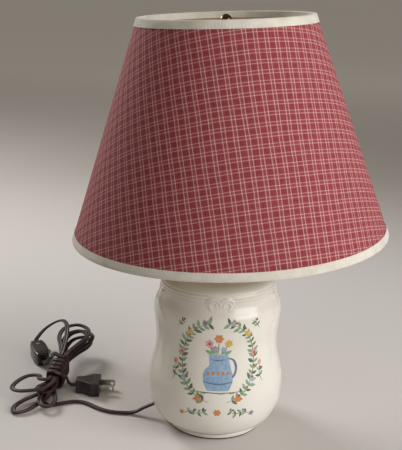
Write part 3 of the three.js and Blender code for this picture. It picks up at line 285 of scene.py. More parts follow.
ear_turn = math.radians(70)
ear_height = 143.5
ear_rise = 0.9
ear_radius = 4.0


def curve_through(points, divisions):
    """Points of a centripetal spline through the given ones."""
    points = [Vector(p) for p in points]
    ring = [2 * points[0] - points[1], *points, 2 * points[-1] - points[-2]]
    made = []
    for i in range(1, len(ring) - 2):
        p = ring[i - 1:i + 3]
        t = [0.0]
        for k in range(3):
            t.append(t[-1] + max((p[k + 1] - p[k]).length, 1e-9) ** 0.5)
        for k in range(divisions):
            u = t[1] + (t[2] - t[1]) * k / divisions
            a = [((t[j + 1] - u) * p[j] + (u - t[j]) * p[j + 1]) / (t[j + 1] - t[j]) for j in range(3)]
            b = [((t[j + 2] - u) * a[j] + (u - t[j]) * a[j + 1]) / (t[j + 2] - t[j]) for j in range(2)]
            made.append(((t[2] - u) * b[0] + (u - t[1]) * b[1]) / (t[2] - t[1]))
    made.append(points[-1].copy())
    return made


def rounded(outline, divisions):
    """An outline of (radius, height) as a smooth line."""
    return [(p.x, p.z) for p in curve_through([(r, 0, z) for r, z in outline], divisions)]


wall_line = rounded([(r * belly_radius, body_low + h * body_height) for h, r in body_shares], 7)
line_radii, line_heights = np.array(wall_line).T


def wall_radius(height):
    return np.interp(height, line_heights, line_radii)


def distance_to(line, across, height):
    """Distance of many places on the wall to a line of (across, height) points."""
    least = np.full(np.shape(across), 1e9)
    for (x0, z0), (x1, z1) in zip(line, line[1:]):
        dx, dz = x1 - x0, z1 - z0
        share = np.clip(((across - x0) * dx + (height - z0) * dz) / (dx * dx + dz * dz), 0, 1)
        least = np.minimum(least, np.hypot(across - x0 - share * dx, height - z0 - share * dz))
    return least


def moulding(turn, height):
    """How far the moulded lines stand out of the plain wall. turn is in degrees from the front."""
    turn = (np.asarray(turn) + 180) % 360 - 180
    height = np.asarray(height)
    across = np.radians(turn) * moulding_radius
    out = np.zeros(np.shape(across))
    clear = np.clip((np.abs(across) - ring_free) / ring_fade, 0, 1)
    for ring in ring_heights:
        out -= ring_depth * clear * np.exp(-((height - ring) / ring_width) ** 2)
    for side in (-1, 1):
        for radius, start, end in scroll_arcs:
            centre = scroll_centre + side * (scroll_arcs[0][0] + 0.5)
            arc = [(centre + side * radius * math.cos(a), scroll_height + radius * math.sin(a))
                   for a in np.radians(np.linspace(start, end, 14))]
            out += scroll_rise * np.exp(-(distance_to(arc, across, height) / scroll_line) ** 2)
        for rise, width, fade_low, line in side_lines:
            line = [(side * math.radians(a) * moulding_radius, z) for a, z in line]
            fade = np.clip((height - fade_low) / side_fade, 0, 1)
            out += rise * fade * np.exp(-(distance_to(line, across, height) / width) ** 2)
        ear = np.hypot(across - side * ear_turn * moulding_radius, height - ear_height)
        out += ear_rise * np.exp(-(ear / ear_radius) ** 2)
    return out


inner_line = [(wall_radius(body_low + s * body_height) - wall, body_low + s * body_height)
              for s in inside_shares]
crown = body_low + body_height
foot_top = body_low + foot_height
start_radius, end_radius = wall_line[0][0], wall_line[-1][0]
foot_line = [
    (foot_radius - foot_edge, body_low), (foot_radius - foot_chamfer, body_low + foot_chamfer),
    (foot_radius, body_low + foot_edge), (foot_radius, foot_top - foot_edge),
    (foot_radius - foot_chamfer, foot_top - foot_chamfer), (foot_radius - foot_edge, foot_top),
    (start_radius - 1.6, foot_top + 0.25), (start_radius - 0.7, foot_top + 0.5),
]
crown_line = [(end_radius * 0.75, crown), (end_radius * 0.4, crown), (rod_hole + 0.5, crown),
              (rod_hole, crown - 0.5), (rod_hole, crown - wall), (end_radius - wall, crown - wall)]
jar = turned("glazed_body", [(foot_opening, body_low), *foot_line, *wall_line, *crown_line,
                             *inner_line, (foot_opening, foot_top + wall)], 360)


def places(obj):
    """A piece's points in millimetres, and the turn of each in degrees from the front."""
    flat = np.empty(len(obj.data.vertices) * 3)
    obj.data.vertices.foreach_get("co", flat)
    place = flat.reshape(-1, 3) / MM
    return place, np.degrees(np.arctan2(place[:, 1], place[:, 0])) + 90


place, turn = places(jar)
radius = np.hypot(place[:, 0], place[:, 1])
outside = (np.abs(radius - wall_radius(place[:, 2])) < 0.02) & (place[:, 2] > foot_top + 1)
lift = np.where(outside, moulding(turn, place[:, 2]), 0)
place[:, :2] *= ((radius + lift) / radius)[:, None]
jar.data.vertices.foreach_set("co", (place * MM).ravel())
jar.data.update()

hole_height = 15.5
hole_dip = math.radians(28)
bushing_radius = 4.7
flange_radius = 6.6
flange_thickness = 1.6
flange_depth = 1.9
gap = 0.3
hole = (Matrix.Translation((-float(wall_radius(hole_height)), 0, hole_height))
        @ Matrix.Rotation(math.pi, 4, "Z") @ Matrix.Rotation(hole_dip, 4, "Y"))


def set_at(obj, matrix):
    """Moves a piece to its place, given by a matrix in millimetres."""
    scaled = matrix.copy()
    scaled.translation = matrix.translation * MM
    obj.data.transform(scaled)
    return obj


def cut_away(obj, *tools):
    """Cuts the tools out of a piece."""
    for tool in tools:
        pick(obj)
        cut = obj.modifiers.new("cut", "BOOLEAN")
        cut.operation = "DIFFERENCE"
        cut.solver = "EXACT"
        cut.object = tool
        bpy.ops.object.modifier_apply(modifier=cut.name)
        bpy.data.objects.remove(tool)
    return obj


def along_hole(obj):
    return set_at(obj, hole @ Matrix.Rotation(math.pi / 2, 4, "Y"))


reach = 3 * wall
hole_radius, seat_radius = bushing_radius + gap, flange_radius + gap
cut_away(jar, along_hole(turned("drill", [
    (0, -reach), (hole_radius, -reach), (hole_radius, -flange_depth), (seat_radius, -flange_depth),
    (seat_radius, reach), (0, reach)], 48)))
smooth(jar, 50)

# Painted shade: beside the moulded lines and in the groove over the foot, where shade falls in the
# hollows, the glaze is painted a little warmer and darker.
beside_step = 1.6
place, turn = places(jar)
height = place[:, 2]
beside = (moulding(turn, height + beside_step) + moulding(turn, height - beside_step)
          + moulding(turn + beside_step, height) + moulding(turn - beside_step, height)) / 4
groove = np.exp(-((height - foot_top - 0.6) / 1.1) ** 2)
crease_shade = jar.data.attributes.new("crease_shade", "FLOAT", "POINT")
crease_shade.data.foreach_set(
    "value", np.clip(1.6 * (beside - moulding(turn, height)) + 0.9 * groove, -0.4, 1))

glaze = Finish("ivory_glaze", IOR=1.46, Coat_Weight=0.12, Coat_Roughness=0.04, Coat_IOR=1.5)
spot = glaze.place()
ivory = glaze.blend(glaze.drift(spot, 11, 4, within=(0.35, 0.65)), "e3ddd0", "e8e3d9")
crease_shade_share = glaze.node("Attribute", {"attribute_name": "crease_shade"}).outputs["Fac"]
# Painted shade: where the mask is high, the ivory is mixed up to about half way to a warm dark brown.
shadowed = glaze.blend(glaze.math("MULTIPLY", crease_shade_share, 0.55, clamp=True), ivory, "a8946c")
speck = glaze.node("TexVoronoi", Vector=spot, Scale=140.0).outputs["Distance"]
sparse = glaze.drift(spot, 70, 1, within=(0.6, 0.64))
specks = glaze.math("MULTIPLY", glaze.spread(speck, 0.05, 0.09, 0.5, 0), sparse)
skin = glaze.relief(glaze.cloud(spot, 190, 2), 0.02)
glaze.paint(glaze.blend(specks, shadowed, "7d6a4c"), glaze.drift(spot, 60, 3, 0.16, 0.26),
            glaze.relief(glaze.cloud(spot, 26, 2), 0.18, skin))
fit(jar, glaze, "lamp", "glaze", "ceramic_base")


# Printed design. A decal of ceramic colours fired on the glaze: a jug of flowers in a wreath of
# leaves and berries, with small sprigs in the corners. It has no thickness to speak of.
print_lift = 0.07
print_step = 0.014
print_centre = 1.5
print_radius = 62.0
print_grid = 2.0
print_tones = {
    "umber": ("5d4636", "7b6250"), "dark_green": ("3d5c45", "5a7a5a"),
    "leaf_green": ("6f9468", "8fb080"), "grey_blue": ("7f9dbb", "9db6cd"),
    "lilac": ("8f839f", "aca2b8"), "rose": ("cf8a8c", "dfa8a6"), "ochre": ("c9a04a", "dcbb6c"),
    "rust": ("c8743c", "d99058"), "slate": ("56657f", "74839a"), "brick": ("8e4438", "a85c4a"),
}
motifs = {name: [] for name in print_tones}
random.seed(7)


def leaf(x, z, length, width, heading, steps=14):
    """A pointed leaf that starts at (x, z)."""
    c, s = math.cos(math.radians(heading)), math.sin(math.radians(heading))
    upper = [(length * i / steps, width / 2 * math.sin(math.pi * (i / steps) ** 0.85))
             for i in range(steps + 1)]
    lower = [(a, -b) for a, b in upper[-2:0:-1]]
    return [(x + a * c - b * s, z + a * s + b * c) for a, b in upper + lower]


def disc(x, z, radius, steps=18):
    turns = [2 * math.pi * i / steps for i in range(steps)]
    return [(x + radius * math.cos(a), z + radius * math.sin(a)) for a in turns]


def stroke(colour, points, width):
    """A brush line that thins at its ends."""
    line = curve_through([(x, 0, z) for x, z in points], 5)
    sides = []
    for i, p in enumerate(line):
        way = (line[min(i + 1, len(line) - 1)] - line[max(i - 1, 0)]).normalized()
        half = width / 2 * (0.45 + 0.55 * math.sin(math.pi * i / (len(line) - 1)))
        sides.append(((p.x - way.z * half, p.z + way.x * half),
                      (p.x + way.z * half, p.z - way.x * half)))
    motifs[colour] += [(a[0], b[0], b[1], a[1]) for a, b in zip(sides, sides[1:])]


def flower(x, z, size, petals, heart, count=5, turn_by=0.0):
    for k in range(count):
        motifs[petals].append(leaf(x, z, size, size * 0.78, turn_by + 360 * k / count, 10))
    motifs[heart].append(disc(x, z, size * 0.3))


def sprig(points, width, leaf_size, colours, berries):
    """A stem with leaves on both sides and a berry here and there."""
    stroke("umber", points, width)
    line = curve_through([(x, 0, z) for x, z in points], 6)
    for i in range(4, len(line) - 2, 4):
        p = line[i]
        way = line[i + 1] - line[i - 1]
        heading = math.degrees(math.atan2(way.z, way.x))
        for side in (-1, 1):
            size = leaf_size * (0.8 + 0.35 * random.random())
            lean_out = side * (48 + 16 * random.random())
            colour = colours[(i // 4 + (side > 0)) % len(colours)]
            motifs[colour].append(leaf(p.x, p.z, size, size * 0.42, heading + lean_out))
        if i % 8 == 0:
            motifs[berries].append(disc(p.x + 1.8, p.z + 2.4, 1.15))


# The wreath: two branches that leave the bottom and meet at the top.
wreath_height = 90
wreath_radii = (37, 40)
flower_out = 1.2


def on_wreath(side, degrees, out=0.0):
    wide, high = (radius + out for radius in wreath_radii)
    return (side * wide * math.sin(math.radians(degrees)),
            wreath_height - high * math.cos(math.radians(degrees)))


for side in (-1, 1):
    sprig([on_wreath(side, a) for a in range(12, 169, 12)], 0.8, 7.2,
          ("leaf_green", "dark_green", "leaf_green"), "brick")
    for a, petals, heart, size in ((28, "rust", "ochre", 3.9), (62, "grey_blue", "ochre", 3.5),
                                   (98, "rose", "brick", 4.1), (132, "ochre", "umber", 3.6),
                                   (160, "lilac", "ochre", 3.4)):
        flower(*on_wreath(side, a, flower_out), size, petals, heart, 5, a * side)

# The jug, with its handle, its bands, a row of petals and the table line that it stands on.
jug_side = [(9, 62), (10.5, 63.4), (13.6, 70), (14.4, 76), (12.6, 82), (8.4, 86.4), (6.6, 90),
            (7.4, 94), (9.4, 96.6)]
motifs["grey_blue"].append([(-9, 62), *jug_side, *[(-x, z) for x, z in jug_side[:0:-1]]])
stroke("slate", [(9.2, 93.4), (15, 91), (17.6, 84), (15.8, 77), (13.4, 74)], 2.2)
stroke("slate", [(-13.4, 70.4), (-4, 68.6), (4, 68.6), (13.4, 70.4)], 1.5)
stroke("slate", [(-7.2, 92), (-2, 91.2), (2, 91.2), (7.2, 92)], 1.2)
for k in range(5):
    motifs["rust"].append(leaf(-9.5 + 4.75 * k, 76.5, 4.2, 2.6, 90))
for x in (-20, -10, 0, 10, 20):
    motifs["leaf_green"].append(leaf(x, 59.6, 6.0, 1.5, 180 if x < 0 else 0))
stroke("umber", [(-24, 60.8), (-8, 60.2), (8, 60.2), (24, 60.8)], 0.9)

# The flowers in the jug and their leaves, then the sprigs in the corners.
for x, z, petals, heart, size in ((-9, 108, "rose", "brick", 4.6), (0, 113.5, "rust", "ochre", 5.0),
                                  (9.6, 108.4, "ochre", "umber", 4.5),
                                  (-3.4, 102.6, "lilac", "ochre", 3.6),
                                  (5, 102, "grey_blue", "ochre", 3.4)):
    stroke("dark_green", [(x * 0.35, 96.4), (x * 0.7, (z + 96) / 2), (x, z)], 0.8)
    flower(x, z, size, petals, heart, 6, 10 * x)
for x, heading in ((-6, 150), (-4, 120), (6, 30), (4, 62), (-2, 96)):
    motifs["leaf_green"].append(leaf(x, 97, 8.5, 3.4, heading))
for side, upper_petals, lower_petals in ((-1, "rust", "ochre"), (1, "rose", "lilac")):
    for points, size, colours, berries in (
            ([(45, 66), (43, 74), (44.5, 82)], 5.2, ("dark_green", "leaf_green"), "brick"),
            ([(30, 36), (24, 39.5), (17, 38), (10, 41)], 5.0, ("leaf_green", "dark_green"), "slate"),
            ([(41, 121), (38, 126), (33, 130)], 4.6, ("leaf_green", "dark_green"), "brick")):
        sprig([(side * x, z) for x, z in points], 0.7, size, colours, berries)
    flower(side * 44.7, 84.5, 2.9, upper_petals, "ochre")
    flower(side * 32.2, 36.4, 3.1, lower_petals, "brick")
flower(0, 40, 3.8, "rust", "ochre", 6)


def printed(name, shapes, finish, lift):
    """Lays the flat shapes on the glaze, cut small enough to follow it."""
    flat = bmesh.new()
    for shape in shapes:
        flat.faces.new([flat.verts.new((x, 0, z)) for x, z in shape])
    bmesh.ops.triangulate(flat, faces=flat.faces[:])
    for axis, normal in ((0, (1, 0, 0)), (2, (0, 0, 1))):
        spots = [v.co[axis] / print_grid for v in flat.verts]
        for k in range(math.ceil(min(spots)), math.floor(max(spots)) + 1):
            bmesh.ops.bisect_plane(flat, geom=flat.verts[:] + flat.edges[:] + flat.faces[:],
                                   plane_co=Vector(normal) * print_grid * k, plane_no=normal)
    for v in flat.verts:
        angle = (v.co.x + print_centre) / print_radius
        height = v.co.z
        out = float(wall_radius(height)) + float(moulding(math.degrees(angle), height)) + lift
        v.co = Vector((out * math.sin(angle), -out * math.cos(angle), height)) * MM
    bmesh.ops.recalc_face_normals(flat, faces=flat.faces[:])
    obj = drawn(name, [])
    flat.to_mesh(obj.data)
    flat.free()
    bpy.context.view_layer.update()
    if sum(p.normal.dot(Vector((p.center.x, p.center.y, 0))) for p in obj.data.polygons) < 0:
        obj.data.flip_normals()
    return fit(smooth(obj), finish, "lamp", "glaze")


for k, (name, tones) in enumerate(print_tones.items()):
    ink = mottled("ceramic_" + name, *tones, 420, (0.2, 0.34), [(900, 0.01)],
                  Coat_Weight=0.5, Coat_Roughness=0.05)
    printed("print_" + name, motifs[name], ink, print_lift + print_step * k)


# Cord bushing. A black nylon snap bushing pressed into the hole low in the wall, with a thin
# flange in a countersunk seat. It keeps the cord off the edge of the glaze.
bushing_bore = 3.2
bushing_tail = 2.2
bushing_edge = 0.6
flange_edge = 0.7
seat_low = gap - flange_depth
tail_low = -wall - flange_depth - gap - bushing_tail

nylon = mottled("black_nylon", "17140f", "28231d", 300, (0.38, 0.55), [(800, 0.02)])
bushing = turned("snap_bushing", [
    (bushing_bore, tail_low), (bushing_radius - 0.5, tail_low),
    (bushing_radius, tail_low + bushing_edge), (bushing_radius, seat_low), (flange_radius, seat_low),
    (flange_radius, seat_low + flange_thickness * 0.6), (flange_radius - flange_edge, 0),
    (bushing_bore + flange_edge, 0), (bushing_bore, -bushing_edge)], 64)
fit(smooth(along_hole(bushing)), nylon, "lamp", "black_plastic", "cord_bushing")


# Fastening of the stack. A zinc-plated steel tube with a fine thread stands in the crown's hole;
# under the crown a flat washer, a split washer and a hexagon nut pull it all tight.
rod_radius = 4.86
rod_bore = 3.45
rod_edge = 0.5
rod_below_crown = 17.0
rod_into_socket = 6.0
thread_start = 0.4
thread_pitch = 0.94
thread_depth = 0.35
inner_washer_radius = 14.0
inner_washer_thickness = 1.5
cap_height = 7.2
neck_height = 7.8
saddle_sheet = 1.2
neck_low = crown + cap_height
saddle_low = neck_low + neck_height
socket_low = saddle_low + saddle_sheet
rod_low = crown - rod_below_crown
rod_top = socket_low + rod_into_socket
rod_clear = rod_radius + 0.34
under = crown - wall

zinc = mottled("zinc_plated_steel", "8b8b86", "b9b8b1", 160, (0.28, 0.5), [(1400, 0.01)],
               Metallic=1.0)


def dress(node, finish):
    """A solid of the frame that is shown as it is, in its own finish."""
    return dressed(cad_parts[node], finish)


def threaded(radius, low, high):
    """The outer side of a fine thread, from low to high."""
    points = []
    while low < high - thread_pitch / 2:
        points.append((radius - (thread_depth if len(points) % 2 else 0), low))
        low += thread_pitch / 2
    return points + [(radius, high)]


rod = turned("threaded_tube", [
    (rod_bore, rod_low), (rod_radius - rod_edge, rod_low),
    *threaded(rod_radius, rod_low + thread_start, rod_top - thread_start),
    (rod_radius - rod_edge, rod_top), (rod_bore, rod_top)], 64)
fit(smooth(rod, 20), zinc, "lamp", "steel", "threaded_rod")
washer = flat_ring("flat_washer", rod_clear, inner_washer_radius, under - inner_washer_thickness,
                   under, 72)
fit(soften(washer, 0.25), zinc, "lamp", "steel", "inner_washer")
dress("lock_washer", zinc)
dress("hex_nut", zinc)


# Vase cap and neck. Spun and turned brass, polished and lacquered, now a little brown. The cap is
# a thin dome that covers the crown's hole, and the neck a spool that lifts the harp clear of it.
cap_radius = 24.0
cap_top = 9.0
cap_sheet = 1.0
spool_shares = [(9, 0), (9, 0.17), (7.5, 0.31), (6.9, 0.5), (7.5, 0.69), (9, 0.83), (9, 1)]

brass = Finish("lacquered_brass", Metallic=1.0, Coat_Weight=0.25, Coat_Roughness=0.1)
spot = brass.place()
brass.paint(brass.blend(brass.drift(spot, 75, 5, within=(0.35, 0.7)), "b8934f", "8a6a36"),
            brass.drift(spot, 160, 4, 0.2, 0.42),
            brass.relief(brass.cloud(brass.place((1, 1, 14)), 210, 2), 0.012))


def dome(inset):
    return [(cap_top + (cap_radius - inset - cap_top) * math.cos(a),
             crown + (cap_height - inset) * math.sin(a)) for a in np.linspace(0, math.pi / 2, 14)]


cap = turned("vase_dome", [*dome(0), (rod_clear, neck_low), (rod_clear, neck_low - cap_sheet),
                           *dome(cap_sheet)[::-1]])
fit(smooth(cap, 50), brass, "lamp", "brass", "vase_cap")
spool = rounded([(radius, neck_low + share * neck_height) for radius, share in spool_shares], 5)
neck = turned("brass_spool", [(rod_clear, neck_low), *spool, (rod_clear, saddle_low)], 72)
fit(soften(neck, 0.2), brass, "lamp", "brass", "brass_neck")


# Harp saddle. A strip of brassed steel, pressed into a U under the socket, with a round plate in
# its middle that the rod passes through.
saddle_span = 23.5
saddle_plate = 10.0
arm_width = 5.6
arm_top = saddle_low + 16
arm_edge = 1.2
arm_tip = 0.3
bend_radius = 3.0
span = saddle_span + saddle_sheet / 2


def pressed(name, outline, depth):
    """A flat outline in X and Y, thickened upwards by depth."""
    obj = drawn(name, [(x, y, 0) for x, y in outline], faces=[tuple(range(len(outline)))])
    pick(obj)
    bpy.ops.object.mode_set(mode="EDIT")
    bpy.ops.mesh.select_all(action="SELECT")
    bpy.ops.mesh.extrude_region_move(TRANSFORM_OT_translate={"value": (0, 0, depth * MM)})
    bpy.ops.mesh.select_all(action="SELECT")
    bpy.ops.mesh.normals_make_consistent(inside=False)
    bpy.ops.object.mode_set(mode="OBJECT")
    return obj


def mirrored(half, axis=0):
    """Half of an outline, and its mirror image back to the start."""
    return [*half, *[(-x, y) if axis == 0 else (x, -y) for x, y in half[::-1]]]


def joined(name, first, *others):
    """One piece out of several meshes that touch."""
    pick(first)
    for other in others:
        other.select_set(True)
    bpy.ops.object.join()
    first.name = name
    return first


def saddle_bend(inset):
    bend = bend_radius - inset
    return [(span - bend_radius + bend * math.sin(a), saddle_low + bend_radius - bend * math.cos(a))
            for a in np.radians(np.linspace(0, 90, 7))]


arm = [(span, arm_top - arm_edge), (span - arm_tip, arm_top), (span - saddle_sheet + arm_tip, arm_top),
       (span - saddle_sheet, arm_top - arm_edge)]
half = [*saddle_bend(0), *arm, *saddle_bend(saddle_sheet)[::-1]]
strip = soften(pressed("strip", mirrored(half), arm_width), 0.2)
set_at(strip, Matrix.Translation((0, arm_width / 2, 0)) @ Matrix.Rotation(math.pi / 2, 4, "X"))
cut_away(strip, flat_ring("drill", 0, rod_clear + 1, saddle_low - 2, saddle_low + 3, 48))
plate = flat_ring("plate", rod_clear, saddle_plate, saddle_low, socket_low)
saddle = joined("harp_saddle_strip", strip, soften(plate, 0.15))
fit(smooth(saddle), brass, "lamp", "brass", "harp_saddle")


# Harp. Brass-plated spring wire, bowed round the bulb, with a flat eye at its top that the stud
# turns in and a foot at each side that drops into the saddle.
harp_height = 215.9
harp_wide = 57.0
wire_radius = 1.5
eye_bore = 2.6
eye_radius = 9.0
eye_thickness = 1.6
stud_flange = 2.0
stud_play = 0.6
seat_height = socket_low + harp_height
eye_top = seat_height - stud_flange - stud_play
harp_foot = arm_top + 0.3
harp_rise = eye_top - eye_thickness / 2 - harp_foot
bow_side = [(saddle_span, 0), (saddle_span, 0.06), (saddle_span, 0.12),
            (saddle_span + 0.2 * (harp_wide - saddle_span), 0.175), (harp_wide * 0.86, 0.27),
            (harp_wide, 0.42), (harp_wide * 0.95, 0.62), (harp_wide * 0.72, 0.82), (28.8, 0.93),
            (20, 0.985), (14.4, 1.0), (8, 1.0)]


def wire(name, points):
    """Round wire bent along the points."""
    line = curve_through(points, 8)
    curve = bpy.data.curves.new(name, "CURVE")
    curve.dimensions = "3D"
    curve.bevel_depth = wire_radius * MM
    curve.bevel_resolution = 3
    curve.use_fill_caps = True
    spline = curve.splines.new("POLY")
    spline.points.add(len(line) - 1)
    for point, p in zip(spline.points, line):
        point.co = (*(p * MM), 1)
    obj = bpy.data.objects.new(name, curve)
    bpy.context.collection.objects.link(obj)
    pick(obj)
    bpy.ops.object.convert(target="MESH")
    return bpy.context.view_layer.objects.active


halves = [wire("bow", [(side * x, 0, harp_foot + s * harp_rise) for x, s in bow_side])
          for side in (-1, 1)]
eye = soften(flat_ring("eye", eye_bore, eye_radius, eye_top - eye_thickness, eye_top), 0.35)
harp = joined("harp_wire", eye, *halves)
fit(smooth(harp, 50), brass, "lamp", "brass", "harp_bow")


# Harp sleeves. Short brass tubes that slide down the wire over both feet and lock the harp in its
# saddle; each is lifted with a finger to free it.
sleeve_bore = 3.6
sleeve_radius = 4.3
sleeve_length = 20.0
sleeve_foot = 7.0
groove_radius = 4.05
groove_heights = (4, 14.2)

sleeve_side = [(sleeve_bore, 0), (sleeve_radius, 0)]
for low in groove_heights:
    sleeve_side += [(sleeve_radius, low), (groove_radius, low + 0.5), (groove_radius, low + 1.3),
                    (sleeve_radius, low + 1.8)]
sleeve_side += [(sleeve_radius, sleeve_length), (sleeve_bore, sleeve_length)]
for side, label in ((-1, "left"), (1, "right")):
    tube = turned("locking_sleeve_" + label, sleeve_side, 48, socket_low + sleeve_foot)
    set_at(tube, Matrix.Translation((side * saddle_span, 0, 0)))
    fit(soften(tube, 0.12), brass, "sleeve_" + label, "brass", "harp_sleeve_" + label)


# Lamp socket. A brass-plated cap screwed on the rod, a bead-rolled brass shell, and inside them a
# paper liner, a moulded body, the screw shell and the contact. Heights count from its foot.
cup_line = [(8, 0), (8, 4.6), (8.6, 6.4), (12.4, 8.9), (16.2, 11.3), (17.4, 12.6), (17.8, 14.2),
            (17.8, 17), (17.8, 20)]
cup_inside = [(17.0, 20), (17.0, 13.7), (15.8, 12), (8, 7.2)]
set_screw_hole = 1.7
set_screw_height = 3.2
shell_radius = 16.6
shell_inside = 15.9
shell_low, shell_top = 14.6, 60.0
lip_radius = 14.5
lip_low = 59.1
bead_heights = (26, 30, 50, 54)
bead_line = [(0, -1.3), (0.45, -0.6), (0.6, 0), (0.45, 0.6), (0, 1.3)]
roll_pitch = 1.8
screw_radius = 14.2
screw_inside = 13.7
screw_low, screw_top = 26.0, 54.0

cup = turned("socket_cup", [(rod_clear, 0), *rounded(cup_line, 4), *cup_inside, (rod_clear, 7.2)],
             base=socket_low)
set_hole = flat_ring("drill", 0, set_screw_hole, 0, 10, 24)
cut_away(cup, set_at(set_hole, Matrix.Translation((0, 0, socket_low + set_screw_height))
                     @ Matrix.Rotation(-math.pi / 2, 4, "X")))
fit(smooth(cup), brass, "lamp", "brass", "socket_cap")

beads = [(shell_radius + out, z + up) for z in bead_heights for out, up in bead_line]
shell = turned("socket_shell_brass", [
    (shell_inside, shell_low), (shell_radius, shell_low), *beads, (shell_radius, shell_top - 0.8),
    (shell_radius - 0.8, shell_top), (lip_radius, shell_top), (lip_radius, lip_low),
    (shell_inside, lip_low)], base=socket_low)
fit(smooth(shell, 50), brass, "lamp", "brass", "socket_shell")


def rolled(radius, depth, low, count):
    """The side of a thread rolled in sheet metal."""
    return [(radius - (depth if k % 2 else 0), low + roll_pitch * k) for k in range(count)]


fibre = mottled("grey_fibre_board", "544636", "75644f", 500, (0.8, 0.95), [(1500, 0.05)])
moulded = mottled("dark_phenolic", "1d1714", "332a24", 260, (0.35, 0.55), [(700, 0.02)])
nickel = mottled("nickel_plate", "a9a69c", "cfccc2", 190, (0.22, 0.42), [(1100, 0.01)],
                 Metallic=1.0)
for node, finish in (("socket_liner", fibre), ("socket_body", moulded), ("socket_contact", brass),
                     ("terminal_screw_hot", brass), ("terminal_screw_neutral", nickel),
                     ("socket_set_screw", zinc)):
    dress(node, finish)
screw_shell = turned("screw_shell_nickel", [
    (screw_inside, screw_low), (screw_radius, screw_low), *rolled(screw_radius, 0.45, 27.6, 15),
    (screw_radius, screw_top), (screw_inside, screw_top)], 72, socket_low)
fit(smooth(screw_shell, 60), nickel, "lamp", "nickel", "socket_screw_shell")


# Bulb. A pear of blown glass, frosted inside, with a rolled screw cap and a solder contact. It is
# put in by the user and isn't seen past the shade from in front.
bulb_low = socket_low + screw_low + 1 + gap
bulb_length = 108.0
bulb_radius = 30.0
bulb_glass = 0.8
bulb_shares = [(0.222, 0.403), (0.300, 0.430), (0.380, 0.560), (0.460, 0.750), (0.540, 0.905),
               (0.667, 1.0), (0.780, 0.945), (0.870, 0.785), (0.950, 0.490), (0.988, 0.25), (1, 0)]
widest = 0.62 * bulb_length
solder_height = 1.9
cap_side = 13.2
cap_inside = 12.7
cap_length = 25.0

frosted = Finish("frosted_glass", IOR=1.5, Transmission_Weight=0.35, Coat_Weight=0.6,
                 Coat_Roughness=0.05)
spot = frosted.place()
frosted.paint(frosted.blend(frosted.drift(spot, 40, 3), "f1efe8", "e6e3da"),
              frosted.drift(spot, 90, 3, 0.42, 0.58),
              frosted.relief(frosted.cloud(spot, 1500, 2), 0.01))

pear = rounded([(r * bulb_radius, h * bulb_length) for h, r in bulb_shares], 6)
pear_inside = [(max(r - bulb_glass * min(1, r / 6), 0),
                z - bulb_glass * (z - widest) / bulb_length * 2) for r, z in pear]
glass = turned("glass_pear", [(pear[0][0] - bulb_glass, pear[0][1]), *pear_inside[1:],
                              *pear[::-1]], base=bulb_low)
fit(smooth(glass, 60), frosted, "bulb", "bulb", "bulb_glass")
screw_cap = turned("rolled_cap", [
    (0, 0), (4.6, 0), (8.6, 1.3), (12.2, 3.0), *rolled(cap_side, 0.75, 4.4, 10), (cap_side, 22),
    (cap_side, cap_length), (cap_inside, cap_length), (cap_inside, 4), (4.6, 1), (0, 1)],
    72, bulb_low + solder_height)
fit(smooth(screw_cap, 60), nickel, "bulb", "nickel", "bulb_cap")
dress("bulb_contact", zinc)


# Stud. Turned brass: its head is spun over under the harp's eye so that it can't leave it, its
# flange carries the shade's washer and its thread takes the finial. From here on, all is built
# in the shade's own frame, which leans a little.
shade_lean = math.radians(-2.9)
stud_neck = 2.1
stud_head_radius = 3.6
stud_head = -stud_flange - 2 * stud_play - eye_thickness
stud_thread = 3.15
seat = Matrix.Translation((0, 0, seat_height)) @ Matrix.Rotation(shade_lean, 4, "Y")

stud = turned("swivel_stud", [
    (0, stud_head - 1.3), (2.9, stud_head - 1.3), (stud_head_radius, stud_head - 0.8),
    (stud_head_radius, stud_head), (stud_neck, stud_head), (stud_neck, -stud_flange),
    (5.6, -stud_flange), (6, -1.6), (6, -0.4), (5.6, 0), (stud_thread, 0),
    *threaded(stud_thread, 0.5, 7.0)[1:], (2.7, 7.5), (0, 7.5)], 48)
fit(smooth(set_at(stud, seat), 30), brass, "shade", "brass", "harp_stud")


# Top frame. Welded steel wire under white enamel: a ring with three arms that dip to a flat
# washer, which sits on the stud. The bottom ring is of the same wire.
top_radius = 82.2
bottom_radius = 151.9
shade_height = 204.3
slant = math.atan((bottom_radius - top_radius) / shade_height)
frame_recess = 12.0
washer_bore = 3.75
washer_radius = 11.0
washer_thickness = 1.4
arm_count = 3
arm_start = 8.5
cloth_thickness = 0.6
lining_thickness = 0.5
lining_inset = cloth_thickness + gap
washer_low = gap
arm_low = washer_low + washer_thickness / 2
ring_height = arm_low + frame_recess
rim_top = ring_height + wire_radius
rim_bottom = rim_top - shade_height


def cone_radius(height, inset=0.0):
    """The shade's radius at a height, inset from its outside."""
    return top_radius + (rim_top - height) * math.tan(slant) - inset / math.cos(slant)


ring_inset = lining_inset + lining_thickness + gap + wire_radius
top_ring = cone_radius(ring_height, ring_inset)
bottom_height = rim_bottom + wire_radius
bottom_ring = cone_radius(bottom_height, ring_inset)
foot = top_ring - 16
arm_line = [(arm_start, arm_low), ((arm_start + foot) / 2, arm_low), (foot, arm_low),
            (foot + 7.2, arm_low + 0.12 * frame_recess), (foot + 13.1, arm_low + 0.6 * frame_recess),
            (top_ring, ring_height)]

enamel = mottled("white_enamel", "d5d0c3", "e8e5da", 120, (0.3, 0.5), [(500, 0.05)],
                 Coat_Weight=0.3)


def wire_ring(name, radius, height):
    bpy.ops.object.select_all(action="DESELECT")
    bpy.ops.mesh.primitive_torus_add(
        major_radius=radius * MM, minor_radius=wire_radius * MM, major_segments=144,
        minor_segments=12, location=(0, 0, height * MM))
    bpy.ops.object.transform_apply(location=True, rotation=True, scale=True)
    ring = bpy.context.view_layer.objects.active
    ring.name = name
    return ring


